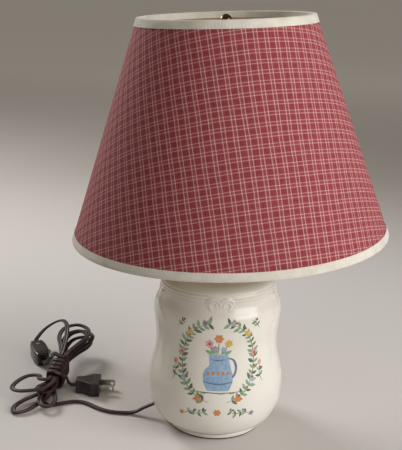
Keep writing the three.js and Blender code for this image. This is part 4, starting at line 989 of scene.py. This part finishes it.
arms = []
for k in range(arm_count):
    angle = -math.pi / 2 + 2 * math.pi * k / arm_count
    arms.append(wire("arm", [(r * math.cos(angle), r * math.sin(angle), z) for r, z in arm_line]))
top_washer = flat_ring("washer", washer_bore, washer_radius, washer_low, washer_low + washer_thickness)
spider = joined("shade_top_frame", soften(top_washer, 0.2), wire_ring("ring", top_ring, ring_height),
                *arms)
fit(smooth(set_at(spider, seat), 50), enamel, "shade", "white_steel", "top_frame")
lower_ring = wire_ring("shade_bottom_ring", bottom_ring, bottom_height)
fit(smooth(set_at(lower_ring, seat), 50), enamel, "shade", "white_steel", "bottom_ring")


# Shade cloth. A homespun cotton check, cut from the flat as a sector, so that its threads run
# straight up at one place and turn away from it round the shade. It is glued to its lining.
check_front = math.radians(22)
pair_across = 9.63
pair_down = 8.8
line_apart = 3.2
line_down = 2.9
line_width = 0.88
line_blur = 0.25
between_share = 0.06
between_blur = 0.2
thread = 0.62
crooked = 0.0016


def half_turn(angle):
    """An angle brought to within half a turn of zero."""
    return (angle + math.pi) % (2 * math.pi) - math.pi


def round_axis(obj, layer, front=0.0):
    """Each corner of a piece's faces, as a blank of the UV map, its place, its turn from the
    front, whole over the cut at the back, and its face's distance from the axis."""
    laid = obj.data.uv_layers.new(name=layer)
    for face in obj.data.polygons:
        middle = half_turn(math.atan2(face.center.y, face.center.x) - front)
        for corner in face.loop_indices:
            spot = obj.data.vertices[obj.data.loops[corner].vertex_index].co
            turn = middle + half_turn(math.atan2(spot.y, spot.x) - front - middle)
            yield laid.data[corner], spot, turn, face.center.xy.length


def cone_shell(name, inset, thickness, rows=26, steps=180):
    heights = [rim_bottom + shade_height * i / rows for i in range(rows + 1)]
    outer = [(cone_radius(z, inset), z) for z in heights]
    inner = [(cone_radius(z, inset + thickness), z) for z in heights[::-1]]
    return turned(name, outer + inner, steps)


check = Finish("homespun_check", Sheen_Weight=0.12, Sheen_Roughness=0.5, Roughness=0.9,
               Sheen_Tint=tone("d8a0a0"))
cut_sheet = check.node("TexCoord").outputs["UV"]
wander = check.node("TexNoise", {"noise_dimensions": "3D"}, Vector=cut_sheet, Scale=22.0,
                    Detail=2.0).outputs["Color"]
shift = check.node("VectorMath", {"operation": "MULTIPLY_ADD"}, _0=wander,
                   _1=(crooked, crooked, 0), _2=cut_sheet).outputs[0]
parts = check.node("SeparateXYZ", Vector=shift).outputs


def lines(value, pitch, apart):
    """1 on a pair of thin lines that comes again every pitch, and a share of it between the two."""
    far = check.math("SUBTRACT", check.math("PINGPONG", value, pitch / 2 * MM), apart / 2 * MM)
    thin = check.spread(check.math("ABSOLUTE", far), (line_width / 2 - line_blur) * MM,
                        (line_width / 2 + line_blur) * MM, 1, 0, True)
    between = check.spread(far, -between_blur * MM, between_blur * MM, between_share, 0, True)
    return check.math("MAXIMUM", thin, between)


def slubs(stretch):
    """Thick and thin places along one set of threads."""
    drawn_out = check.node("Mapping", Vector=cut_sheet, Scale=stretch).outputs[0]
    return check.spread(check.cloud(drawn_out, 1.0, 3, 0.7), 0.34, 0.66)


warp_slub = slubs((1500, 70, 1))
weft_slub = slubs((70, 1500, 1))
warp = check.blend(lines(parts[0], pair_across, line_apart),
                   check.blend(warp_slub, "78242d", "a9444b"),
                   check.blend(warp_slub, "d59c97", "eac0b7"))
weft = check.blend(lines(parts[1], pair_down, line_down),
                   check.blend(weft_slub, "681e27", "97383f"),
                   check.blend(weft_slub, "c08583", "d6a49e"))
beat = 2 * math.pi / (2 * thread * MM)
over_under = check.math("MULTIPLY", *[
    check.math("SINE", check.math("MULTIPLY", part, beat)) for part in parts[:2]])
on_top = check.spread(over_under, -0.5, 0.5, 0.22, 0.78, True)
crown_of_thread = check.math("ADD", check.math("MULTIPLY", check.math("ABSOLUTE", over_under), 0.7),
                             check.math("MULTIPLY", warp_slub, 0.3))
check.paint(check.blend(on_top, warp, weft), normal=check.relief(crown_of_thread, 0.12))

cloth = cone_shell("checked_cloth", 0, cloth_thickness)
for blank, spot, turn, _ in round_axis(cloth, "cut", check_front - math.pi / 2):
    angle = turn * math.sin(slant)
    out = spot.xy.length / math.sin(slant)
    blank.uv = (out * math.sin(angle), out * math.cos(angle))
fit(smooth(set_at(cloth, seat)), check, "shade", "cloth", "shade_cloth")


# Lining. Cream styrene sheet, bonded to the back of the cloth. It holds the cone's shape and
# throws the light back.
styrene = mottled("cream_styrene", "cdc09c", "dacfae", 14, (0.42, 0.6), [(260, 0.06), (45, 0.25)],
                  Coat_Weight=0.1)
lining = cone_shell("styrene_lining", lining_inset, lining_thickness)
fit(smooth(set_at(lining, seat)), styrene, "shade", "lining", "shade_lining")


# Rim tapes. Ivory cotton tape folded over each rim and glued down, 6.5 mm outside and 5.4 mm
# inside. It is a ribbed weave with a corded edge.
tape_thickness = 0.4
tape_width = 6.5
tape_return = 5.4
rib_pitch = 1.1
course_pitch = 0.8
shoulder = tape_thickness * 0.8

ribbed = Finish("ivory_cotton_tape", Sheen_Weight=0.3, Sheen_Roughness=0.5)
strip_uv = ribbed.node("TexCoord").outputs["UV"]
run = ribbed.node("SeparateXYZ", Vector=strip_uv).outputs
ribs, courses = [
    ribbed.math("SINE", ribbed.math("MULTIPLY", run[i], 2 * math.pi / (pitch * MM)))
    for i, pitch in enumerate((rib_pitch, course_pitch))]
weave = ribbed.math("ADD", ribbed.math("MULTIPLY", ribs, 0.3), ribbed.math("MULTIPLY", courses, 0.2))
plain = ribbed.blend(ribbed.drift(strip_uv, 55, 4, within=(0.35, 0.7)), "e0dacd", "cec5b4")
# Painted shade: the hollows between the ribs are painted up to a quarter of the way to a darker tone.
rib_hollow_shade = ribbed.spread(weave, -0.5, 0.1, 0.25, 0, True)
ribbed.paint(ribbed.blend(rib_hollow_shade, plain, "b5ab98"), ribbed.drift(strip_uv, 300, 2, 0.75, 0.92),
             ribbed.relief(ribbed.spread(weave, -0.5, 0.5), 0.16))


def tape(name, rim, ring_radius, upward, node):
    """A tape folded over a rim: up its outside, over the fold and down inside the ring."""
    fold = rim + upward * gap
    top = fold + upward * tape_thickness
    end = rim - upward * tape_width
    inner_end = rim - upward * tape_return
    leg = ring_radius - wire_radius - gap
    outer = [(end, 0), (end, 0.75), (end + upward * 0.5, 1), (end + upward * 4, 1),
             (top - upward * shoulder, 1), (top, 0.4)]
    outline = [
        *[(cone_radius(z, -gap - share * tape_thickness), z) for z, share in outer],
        (leg + 0.2, top), (leg - tape_thickness, top - upward * shoulder),
        (leg - tape_thickness, inner_end), (leg, inner_end), (leg, fold),
        (cone_radius(fold, -gap), fold)]
    band = turned(name, outline if upward > 0 else outline[::-1], 180)
    for blank, spot, turn, from_axis in round_axis(band, "strip"):
        across = -spot.z if from_axis < (leg + 1) * MM else spot.z
        blank.uv = (turn * ring_radius * MM, across + spot.xy.length * 0.3)
    return fit(smooth(set_at(band, seat), 45), ribbed, "shade", "tape", node)


top_band = tape("top_rim_tape", rim_top, top_ring, 1, "top_tape")
bottom_band = tape("bottom_rim_tape", rim_bottom, bottom_ring, -1, "bottom_tape")


# Finial. A turned knob of brass, chemically browned, with bright edges where it is handled. It
# screws on the stud and holds the shade down. Heights count from its foot.
finial_low = washer_low + washer_thickness + gap
finial_height = 14.5
hub = 5.2
hub_waist = 4.37
finial_bore = 3.45
bore_depth = 7.0
knob_shares = [(0.30, 0.84), (0.36, 0.93), (0.46, 1.06), (0.56, 1.1), (0.66, 1.09), (0.76, 1.0),
               (0.86, 0.80), (0.94, 0.5), (0.985, 0.25), (1.0, 0.0)]

bronzed = Finish("browned_brass", Metallic=1.0, Coat_Weight=0.3, Coat_Roughness=0.08)
spot = bronzed.place()
bright = bronzed.spread(bronzed.cloud(spot, 420, 5, 0.7), 0.48, 0.68)
worn_edge = bronzed.spread(bronzed.node("NewGeometry").outputs["Pointiness"], 0.52, 0.6)
worn = bronzed.math("MAXIMUM", bronzed.math("MULTIPLY", bright, 0.5), worn_edge)
bronzed.paint(bronzed.blend(worn, "4a3220", "c39a55"), bronzed.drift(spot, 300, 3, 0.16, 0.36))

knob_line = rounded([(x * hub, finial_height * h) for h, x in knob_shares], 4)
knob = turned("finial_knob", [
    (0, bore_depth), (finial_bore, bore_depth), (finial_bore, 0), (4.9, 0), (hub, 0.35), (hub, 1.7),
    (4.9, 2.05), (hub_waist, 2.5), (hub_waist, 4.0), *knob_line], 72, finial_low)
fit(smooth(set_at(knob, seat), 35), bronzed, "finial", "dark_brass", "finial")


# Cord. Flat twin cord in brown plastic: two stranded wires side by side with a groove between
# them. It leaves the bushing, lies on the table and is tied up in a hank of four loops.
cord_width = 5.3
cord_thick = 2.7
cord_groove = 0.86
cord_divisions = 8
hank_centre = (-172, 66)
hank_heading = math.radians(80)
hank_slope = 0.287
layer_step = cord_thick + 0.65
column = (cord_width + 0.5) / 2
hank_waist = 19.0
hank_loops = 4
loop_steps = 24
lobe_fill = 16 / (3 * math.sqrt(3))
upper_length = 92.0
lower_length = 81.0
lobe_bend = 26.0
lower_follow = 0.1
# Each lobe's length and width as shares, its bend in degrees and its tip's height as a share.
upper_lobes = [(0.93, 0.120, -4, 0.24), (1.00, 0.150, -1, 0.29), (0.90, 0.125, 2, 0.335),
               (0.97, 0.165, 6, 0.385)]
lower_lobes = [(0.605, 0.045, 8, 0.0172), (0.99, 0.095, -26, 0.028), (0.82, 0.080, 17, 0.088),
               (0.54, 0.090, -17, 0.147), (0.78, 0.240, -100, 0.175)]
wrap_turns = 4
wrap_gap = 0.7
wrap_corner = 3.4
corner_steps = 4
wrap_pitch = 6.1
wrap_parting = 2.2
lead_route = [(-73, 0.6, 8.4), (-80, 1.2, 4.0), (-88, 1.8, 1.6), (-97, 2, 1.4), (-106, 3, 1.4),
              (-115, 6.5, 1.4), (-124, 12.5, 1.4), (-132, 19, 1.4), (-140, 23.5, 1.4),
              (-149, 24, 1.4), (-157, 21, 1.4)]
to_switch_route = [(-169.6, 104, 33.8), (-170, 120, 38.8), (-172, 135, 41.5), (-176.5, 149, 41.5),
                   (-183.5, 161, 38), (-193, 168.5, 31.5), (-203.5, 170, 23.5), (-211.5, 165.5, 15),
                   (-215, 161, 9)]
from_switch_route = [(-193.6, 106, 8.2), (-190.6, 98, 11), (-187.6, 90.5, 16), (-184.6, 84.6, 22),
                     (-181, 80.6, 27)]
plug_tail_route = [(-160.2, 49.4, 17.8), (-158.6, 49.8, 12.6), (-157, 51.2, 8.7)]
inner_route = [(-44, 0, 25), (-36, 0, 40), (-25, 0, 70), (-12, 0, 105), (-3, 0, 128), (0, 0, 140)]

wrap_half_width = column + cord_width / 2 + wrap_gap + cord_thick / 2
wrap_half_height = hank_loops * layer_step / 2 + cord_thick + wrap_gap
wrap_half_length = wrap_turns * wrap_pitch / 2
hank_middle = wrap_half_height + cord_thick / 2 + wrap_half_length * hank_slope
first_layer = hank_middle - hank_loops * layer_step / 2
along_hank = Vector((math.cos(hank_heading), math.sin(hank_heading), 0))
across_hank = Vector((math.sin(hank_heading), -math.cos(hank_heading), 0))
along_wrap = along_hank + Vector((0, 0, hank_slope))


def hank_place(along, across, height):
    return Vector((*hank_centre, height)) + along * along_hank + across * across_hank


def lobe_point(end, shares, step, layer):
    """One point of a lobe, which leaves the waist straight and swings round its tip."""
    length_share, width_share, bend, tip_share = shares
    base = upper_length if end > 0 else lower_length
    reach = length_share * base - hank_waist
    swing = min(max((step - 1) / (loop_steps / 2 - 2), 0), 1)
    out = math.sin(swing * math.pi)
    share = out ** 2
    along = 0 if step == 0 else hank_waist + reach * share
    side = -end * math.cos(swing * math.pi)
    across = side * (column + width_share * base * lobe_fill * max(out, 0) ** 3)
    bent = min(reach * share / lobe_bend, 1)
    angle = math.radians(bend)
    curl = lobe_bend / angle
    straight = max(reach * share - lobe_bend, 0)
    forth = min(along, hank_waist) + curl * math.sin(bent * angle) + straight * math.cos(angle)
    aside = curl * (1 - math.cos(bent * angle)) + straight * math.sin(angle)
    start = hank_heading + (0 if end > 0 else math.pi)
    normal = start + bent * angle - end * math.pi / 2
    x = forth * math.cos(start) - aside * math.sin(start) + across * math.cos(normal)
    y = forth * math.sin(start) + aside * math.cos(start) + across * math.sin(normal)
    climb = swing * swing * (3 - 2 * swing) if end > 0 else 0
    slope = end * hank_slope
    at_waist = first_layer + layer_step * (layer + climb) + slope * min(along, hank_waist)
    follow = 1 if end > 0 else lower_follow
    rise = follow * slope * reach * share * (1 - share) ** 2
    height = at_waist + (tip_share * base - at_waist) * share ** 2 + rise
    return Vector((hank_centre[0] + x, hank_centre[1] + y, height))


def hank_points():
    half = loop_steps // 2
    points = [lobe_point(-1, lower_lobes[0], i, 0) for i in range(half // 2, half)]
    for layer in range(hank_loops):
        points += [lobe_point(1, upper_lobes[layer], i, layer) for i in range(half)]
        points += [lobe_point(-1, lower_lobes[layer + 1], i, layer + 1) for i in range(half)]
    leave = hank_place(0, -column, first_layer + hank_loops * layer_step)
    return [*points, leave, leave + along_wrap * hank_waist]


def wrap_points():
    wide = wrap_half_width - wrap_corner
    high = wrap_half_height - wrap_corner
    outline = [(0, wrap_half_height)]
    for k, (across, up) in enumerate(((wide, high), (wide, -high), (-wide, -high), (-wide, high))):
        for i in range(corner_steps + 1):
            angle = (1 - k - i / corner_steps) * math.pi / 2
            outline.append((across + wrap_corner * math.cos(angle), up + wrap_corner * math.sin(angle)))
        if k == 1:
            outline.append((0, -wrap_half_height))
    count = wrap_turns * len(outline)
    points = []
    for i in range(count + 1):
        across, up = outline[i % len(outline)]
        along = wrap_half_length * (1 - 2 * i / count)
        points.append(hank_place(along, across, hank_middle + up + along * hank_slope))
    away = across_hank * cord_width - along_wrap * wrap_parting
    return [points[0] - away, *points, points[-1] + away]


def at_hole(out):
    return (hole @ Vector((out, 0, 0, 1))).to_3d()


def cord_section():
    """The cord's outline: two round cores and a shallow groove between them."""
    core = cord_thick / 2
    offset = cord_width / 2 - core
    side = [(offset + core * math.cos(a), core * math.sin(a))
            for a in np.radians(range(-125, 126, 25))]
    return [*side, (0, cord_groove), *[(-x, y) for x, y in side[::-1]], (0, -cord_groove)]


def twin_cord(name, points, wides=None, step=2.2):
    """Sweeps the cord's outline along the points; its wide side lies level unless told."""
    line = curve_through(points, cord_divisions)
    lengths = [0.0]
    for a, b in zip(line, line[1:]):
        lengths.append(lengths[-1] + (b - a).length)
    count = round(lengths[-1] / step)
    centres, shares, k = [], [], 0
    for i in range(count + 1):
        far = lengths[-1] * i / count
        while k < len(line) - 2 and lengths[k + 1] < far:
            k += 1
        part = (far - lengths[k]) / max(lengths[k + 1] - lengths[k], 1e-9)
        centres.append(line[k].lerp(line[k + 1], part))
        shares.append((k + part) / cord_divisions)
    outline = cord_section()
    sides = len(outline)
    places = []
    for i, centre in enumerate(centres):
        way = (centres[min(i + 1, count)] - centres[max(i - 1, 0)]).normalized()
        wide = Vector((0, 0, 1)).cross(way).normalized()
        if wides:
            base = min(int(shares[i]), len(points) - 2)
            wanted = [wides[base + j] if wides[base + j] is not None else wide for j in (0, 1)]
            wide = wanted[0].lerp(wanted[1], shares[i] - base)
        wide = (wide - wide.dot(way) * way).normalized()
        thick = way.cross(wide)
        places += [centre + wide * x + thick * y for x, y in outline]
    faces = [tuple(reversed(range(sides))), tuple(count * sides + j for j in range(sides))]
    for i in range(count):
        for j in range(sides):
            n = (j + 1) % sides
            faces.append((i * sides + j, i * sides + n, (i + 1) * sides + n, (i + 1) * sides + j))
    cord = drawn(name, places, faces=faces)
    run = cord.data.uv_layers.new(name="run")
    for face in cord.data.polygons[2:]:
        ring, j = divmod(face.index - 2, sides)
        for corner, (a, b) in zip(face.loop_indices, ((0, 0), (0, 1), (1, 1), (1, 0))):
            run.data[corner].uv = ((ring + a) * step * MM, (j + b) / sides)
    return smooth(cord, 60), [c * MM for c in centres]


# Brown plastic with the slight haze of handling. The ribs on one core mark the neutral wire.
rib_count = 36
brown = Finish("brown_cord_plastic", Coat_Weight=0.08, Coat_Roughness=0.3, IOR=1.38)
spot = brown.place()
around = brown.node("SeparateXYZ", Vector=brown.node("TexCoord").outputs["UV"]).outputs[1]
waves = brown.math("SINE", brown.math("MULTIPLY", around, 2 * math.pi * rib_count))
raised = brown.math("MULTIPLY", waves, brown.spread(around, 0.44, 0.46, 1, 0))
brown.paint(brown.blend(brown.drift(spot, 60, 4, within=(0.34, 0.66)), "2b1719", "43292b"),
            brown.drift(spot, 240, 3, 0.4, 0.56),
            brown.relief(brown.cloud(spot, 700, 2), 0.02, brown.relief(brown.spread(raised, -1, 1), 0.05)))

cord_in_socket = 11.6
inner_end = -wall - flange_depth - bushing_tail - cord_width
cord_top = socket_low + cord_in_socket
inner_points = [at_hole(0), at_hole(inner_end), *inner_route, (0, 0, under),
                (0, 0, cord_top - cord_width), (0, 0, cord_top)]
inside_cord, _ = twin_cord("cord_in_body", inner_points, [Vector((0, 1, 0))] * len(inner_points))
fit(inside_cord, brown, "lamp", "cord_brown", "cord_inside")

switch_length = 42.0
switch_width = 19.0
switch_height = 15.0
switch_place = (-204.5, 134.5)
switch_heading = math.radians(-68.8)
plug_place = (-124.0, 52.0)
plug_length = 26.0
plug_width = 27.0
plug_height = 15.0
cord_in_switch = 5.0
cord_in_plug = 1.0


def switch_point(along):
    return Vector((switch_place[0] + along * math.cos(switch_heading),
                   switch_place[1] + along * math.sin(switch_heading), switch_height / 2))


def plug_point(along):
    return Vector((plug_place[0] - plug_length + along, plug_place[1], plug_height / 2))


def onward(end, before):
    return end + (end - before).normalized() * cord_width


half_switch = switch_length / 2
hank = hank_points()
lead = [at_hole(0), at_hole(cord_width + gap), *lead_route, onward(hank[0], hank[1])]
last = [onward(hank[-1], hank[-2]), *to_switch_route,
        *map(switch_point, (-half_switch - cord_width, -half_switch, -half_switch + cord_in_switch))]
main_cord, main_path = twin_cord("cord_to_switch_run", lead + hank + last)
fit(main_cord, brown, "lamp", "cord_brown", "cord_lead", "cord_hank", "cord_to_switch")

wrap = wrap_points()
first_part = [*map(switch_point, (half_switch - cord_in_switch, half_switch, half_switch + cord_width)),
              *from_switch_route, onward(wrap[0], wrap[1])]
last_part = [onward(wrap[-1], wrap[-2]), *plug_tail_route, plug_point(-gap - cord_width),
             plug_point(cord_in_plug)]
wides = [None] * len(first_part) + [along_wrap.normalized()] * len(wrap) + [None] * len(last_part)
tail_cord, tail_path = twin_cord("cord_to_plug_run", first_part + wrap + last_part, wides, 1.8)
fit(tail_cord, brown, "lamp", "cord_brown", "cord_from_switch", "cord_wrap", "cord_plug_tail")


# Line switch. Two halves of brown phenolic with a knurled wheel between them, clamped over the
# cord by one screw and a nut let into the lower half.
switch_edge = 2.2
switch_end_share = 0.62
wheel_radius = 8.0
wheel_thickness = 3.4
wheel_offset = 4.4
wheel_room = 0.7
wheel_side_room = 0.35
tooth_count = 28
tooth = 0.35
pin_hole = 1.65
pin_reach = 5.3
screw_offset = -11.5
screw_hole = 1.8
head_hole = 3.1
head_depth = 2.1
nut_hole = 3.55
nut_depth = 2.8
cord_slot_width = 5.9
cord_slot_height = 3.3
cord_slot_depth = 5.5
grip_count = 5
grip_start = 9.7
grip_pitch = 1.9
grip_width = 0.7
grip_depth = 0.45
past = 20.0
half_height = switch_height / 2
in_switch = Matrix.Translation((*switch_place, 0)) @ Matrix.Rotation(switch_heading, 4, "Z")


def bezier(start, one, two, end, steps=10):
    return [tuple((1 - t) ** 3 * a + 3 * (1 - t) ** 2 * t * b + 3 * (1 - t) * t * t * c + t ** 3 * d
                  for a, b, c, d in zip(start, one, two, end)) for t in (i / steps for i in range(steps))]


def switch_outline():
    far, wide = half_switch, switch_width / 2
    narrow = (wide - switch_edge) * switch_end_share + switch_edge
    return mirrored([*bezier((-far, -narrow), (-far * 0.6, -wide), (-far * 0.35, -wide), (0, -wide)),
                     *bezier((0, -wide), (far * 0.35, -wide), (far * 0.6, -wide), (far, -narrow)),
                     (far, -narrow)], 1)


def drill_at(radius, low, high, x=0.0, y=0.0, steps=32):
    return set_at(flat_ring("drill", 0, radius, low, high, steps), Matrix.Translation((x, y, 0)))


def block(low, high):
    """A cutter for straight slots."""
    bpy.ops.object.select_all(action="DESELECT")
    bpy.ops.mesh.primitive_cube_add(size=1)
    tool = bpy.context.view_layer.objects.active
    low, high = Vector(low), Vector(high)
    tool.data.transform(Matrix.Translation((low + high) / 2 * MM)
                        @ Matrix.Diagonal((*((high - low) * MM), 1)))
    return tool


def switch_half(name, upper, node):
    """One half: its outline pressed up, the rim bevelled, set in place and cut out for the wheel,
    the pin, the screw and the cord."""
    shell = pressed(name, switch_outline(), half_height - gap / 2)
    pick(shell)
    bpy.ops.object.mode_set(mode="EDIT")
    bpy.ops.mesh.select_all(action="DESELECT")
    bpy.ops.object.mode_set(mode="OBJECT")
    top = max(v.co.z for v in shell.data.vertices)
    for edge in shell.data.edges:
        edge.select = all(abs(shell.data.vertices[i].co.z - top) < 1e-6 for i in edge.vertices)
    bpy.ops.object.mode_set(mode="EDIT")
    bpy.ops.mesh.bevel(offset=switch_edge * MM, segments=4, affect="EDGES", profile=0.5)
    bpy.ops.object.mode_set(mode="OBJECT")
    if upper:
        set_at(shell, Matrix.Translation((0, 0, half_height + gap / 2)))
        fastener = drill_at(head_hole, switch_height - head_depth, past, screw_offset)
    else:
        set_at(shell, Matrix.Translation((0, 0, half_height - gap / 2))
               @ Matrix.Rotation(math.pi, 4, "X"))
        fastener = drill_at(nut_hole, -past, nut_depth, screw_offset, 0, 6)
    wheel_half = wheel_thickness / 2 + wheel_side_room
    tools = [drill_at(wheel_radius + wheel_room, half_height - wheel_half, half_height + wheel_half,
                      0, wheel_offset, 64),
             drill_at(pin_hole, half_height - pin_reach, half_height + pin_reach, 0, wheel_offset),
             drill_at(screw_hole, -past, past, screw_offset), fastener]
    for end in (-1, 1):
        x_low, x_high = sorted((end * (half_switch - cord_slot_depth), end * (half_switch + past)))
        tools.append(block((x_low, -cord_slot_width / 2, half_height - cord_slot_height / 2),
                           (x_high, cord_slot_width / 2, half_height + cord_slot_height / 2)))
    if upper:
        for k in range(grip_count):
            x = half_switch - grip_start + grip_pitch * k
            tools.append(block((x, -past, switch_height - grip_depth), (x + grip_width, past, past)))
    cut_away(shell, *tools)
    return fit(smooth(set_at(shell, in_switch), 30), phenolic, "lamp", "black_plastic", node)


phenolic = mottled("brown_black_phenolic", "16110f", "2e2421", 90, (0.22, 0.4), [(420, 0.03)],
                   Coat_Weight=0.35, Coat_Roughness=0.12)
upper_half = switch_half("switch_cover", True, "switch_upper_shell")
lower_half = switch_half("switch_back", False, "switch_lower_shell")
knurl = []
for k in range(4 * tooth_count):
    radius, angle = wheel_radius + (tooth if k % 4 in (1, 2) else 0), math.pi * k / (2 * tooth_count)
    knurl.append((radius * math.cos(angle), radius * math.sin(angle)))
wheel = pressed("thumb_wheel", knurl, wheel_thickness)
set_at(wheel, Matrix.Translation((0, wheel_offset, half_height - wheel_thickness / 2)))
cut_away(wheel, drill_at(pin_hole, 0, past, 0, wheel_offset))
fit(soften(set_at(wheel, in_switch), 0.12, 1), phenolic, "switch_wheel", "black_plastic",
    "switch_wheel")
pin = dress("switch_pin", zinc)
nut = dress("switch_nut", zinc)
clamp_top = switch_height - gap
head_low = switch_height - 1.8
screw = turned("switch_clamp_screw", [
    (0, gap), (1.2, gap), (1.5, gap + 0.4), (1.5, head_low), (2.8, head_low), (2.8, clamp_top - 0.5),
    (2.3, clamp_top), (0, clamp_top)], 40)
cut_away(set_at(screw, Matrix.Translation((screw_offset, 0, 0))),
         block((screw_offset - 4, -0.4, clamp_top - 0.8), (screw_offset + 4, 0.4, past)))
fit(smooth(set_at(screw, in_switch), 30), zinc, "lamp", "steel", "switch_screw")


# Plug. Moulded on the cord in brown vinyl, with a flat face, a waist for the fingers and a
# tapered tail. Two folded brass blades, nickel plated, the wider one for the neutral wire.
plug_edge = 1.5
plug_tail_share = 0.42
plug_taper_share = 0.45
blade_length = 16.0
blade_root = 7.0
blade_thickness = 1.5
blade_spacing = 12.7
blade_widths = {-1: 6.35, 1: 7.9}
blade_hole = 1.6
blade_hole_from_tip = 3.4
blade_tip_share = 0.22
ridge_count = 4
ridge_start_share = 0.62
ridge_pitch = 2.3
ridge_width = 0.9
ridge_depth = 0.5
ridge_reach = 6.5

back = -plug_length
wide_half = plug_width / 2
tail_half = wide_half * plug_tail_share
taper = back + plug_taper_share * plug_length
mid = plug_height / 2
side = [*bezier((back, -tail_half), (taper, -tail_half), (taper * 0.9, -wide_half),
                (taper / 2, -wide_half), 14),
        (taper / 2, -wide_half), (-3.4, -wide_half), (-3.1, -wide_half + 0.5),
        (-2.5, -wide_half + 0.5), (-2.2, -wide_half), (0, -wide_half)]
vinyl = mottled("brown_plug_vinyl", "22151a", "3b292e", 110, (0.34, 0.52), [(500, 0.04)],
                Coat_Weight=0.2, Coat_Roughness=0.2)
plug = soften(pressed("plug_moulding", mirrored(side, 1), plug_height), plug_edge, 4, 60)
tools = []
for s, wide in blade_widths.items():
    y, half = s * blade_spacing / 2, blade_thickness / 2 + gap
    tools.append(block((-blade_root - gap, y - half, mid - wide / 2 - gap),
                       (past, y + half, mid + wide / 2 + gap)))
    for k in range(ridge_count):
        x = taper * ridge_start_share - ridge_pitch * k
        z_low, z_high = (-past, ridge_depth) if s < 0 else (plug_height - ridge_depth, plug_height + past)
        tools.append(block((x, -ridge_reach, z_low), (x + ridge_width, ridge_reach, z_high)))
cut_away(plug, *tools)
fit(smooth(set_at(plug, Matrix.Translation((*plug_place, 0))), 30), vinyl, "lamp", "black_plastic",
    "plug_body")
for (s, wide), label in zip(blade_widths.items(), ("narrow", "wide")):
    tip = blade_tip_share * wide
    blade = pressed("blade_" + label, mirrored([(-blade_root, -wide / 2), (blade_length - tip, -wide / 2),
                                                (blade_length, -wide / 2 + tip)], 1), blade_thickness)
    cut_away(blade, drill_at(blade_hole, -past, past, blade_length - blade_hole_from_tip))
    y = plug_place[1] + s * blade_spacing / 2 + blade_thickness / 2
    set_at(blade, Matrix.Translation((plug_place[0], y, mid)) @ Matrix.Rotation(math.pi / 2, 4, "X"))
    fit(soften(blade, 0.25), nickel, "lamp", "nickel", "plug_blade_" + label)

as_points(main_path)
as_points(tail_path)


# Table and light. A pale table under one large soft lamp from the right and a weaker one from the
# left and behind, with a soft white sky over all. None of it is part of the lamp.
table_size = 60
table_low = -0.0002
lamp_white = (0.985, 0.985, 1.0)
sky_strength = 0.41

bpy.ops.object.select_all(action="DESELECT")
bpy.ops.mesh.primitive_grid_add(x_subdivisions=40, y_subdivisions=40, size=table_size,
                                location=(0, 0, table_low))
bpy.ops.object.transform_apply(location=True, rotation=True, scale=True)
table = bpy.context.view_layer.objects.active
table.name = "table"
paper = Finish("table_paper", Roughness=0.95, Specular_IOR_Level=0.1)
spot = paper.place()
# Painted light: the table is painted lighter close to the lamp, darker a little way out and lighter again
# far off, for how the light falls over it.
from_lamp = paper.node("VectorMath", {"operation": "LENGTH"}, _0=spot).outputs["Value"]
near_painted_light = paper.blend(paper.spread(from_lamp, 0.4, 1.3, eased=True), "d2ccc7", "aca59e")
paper.paint(paper.blend(paper.spread(from_lamp, 1.3, 3.4, eased=True), near_painted_light, "f2eae1"),
            normal=paper.relief(paper.cloud(spot, 300, 2), 0.02))
dressed(table, paper)


def soft_lamp(name, place, aim, size, power):
    lamp = bpy.data.objects.new(name, bpy.data.lights.new(name, "AREA"))
    lamp.data.shape = "RECTANGLE"
    lamp.data.size, lamp.data.size_y = size
    lamp.data.energy = power
    lamp.data.color = lamp_white
    lamp.location = place
    lamp.rotation_mode = "QUATERNION"
    lamp.rotation_quaternion = (Vector(aim) - Vector(place)).to_track_quat("-Z", "Y")
    bpy.context.collection.objects.link(lamp)


soft_lamp("key", (1.2, -0.85, 0.72), (0, 0, 0.15), (1.3, 1.1), 25)
soft_lamp("rim", (-1.0, 0.92, 0.95), (-0.45, 0.45, 0), (0.6, 0.6), 14)
world = bpy.context.scene.world or bpy.data.worlds.new("studio")
bpy.context.scene.world = world
world.use_nodes = True
studio = Nodes(world.node_tree)
upward = studio.node("SeparateXYZ", Vector=studio.node("TexCoord").outputs["Generated"]).outputs["Z"]
sky = studio.tree.nodes["Background"]
studio.join(sky.inputs["Color"], tone("f5f1e9"))
studio.join(sky.inputs["Strength"], studio.math("MULTIPLY", upward, sky_strength))
backdrop = studio.node("Background", Color=tone("817a71"))
paths = studio.node("LightPath").outputs
seen = studio.math("MAXIMUM", studio.math("MAXIMUM", paths["Is Camera Ray"], paths["Is Glossy Ray"]),
                   paths["Is Transmission Ray"])
shown = studio.node("MixShader", _0=seen, _1=sky.outputs[0], _2=backdrop.outputs[0]).outputs[0]
studio.join(studio.tree.nodes["World Output"].inputs["Surface"], shown)
bpy.context.scene.view_settings.view_transform = "Standard"
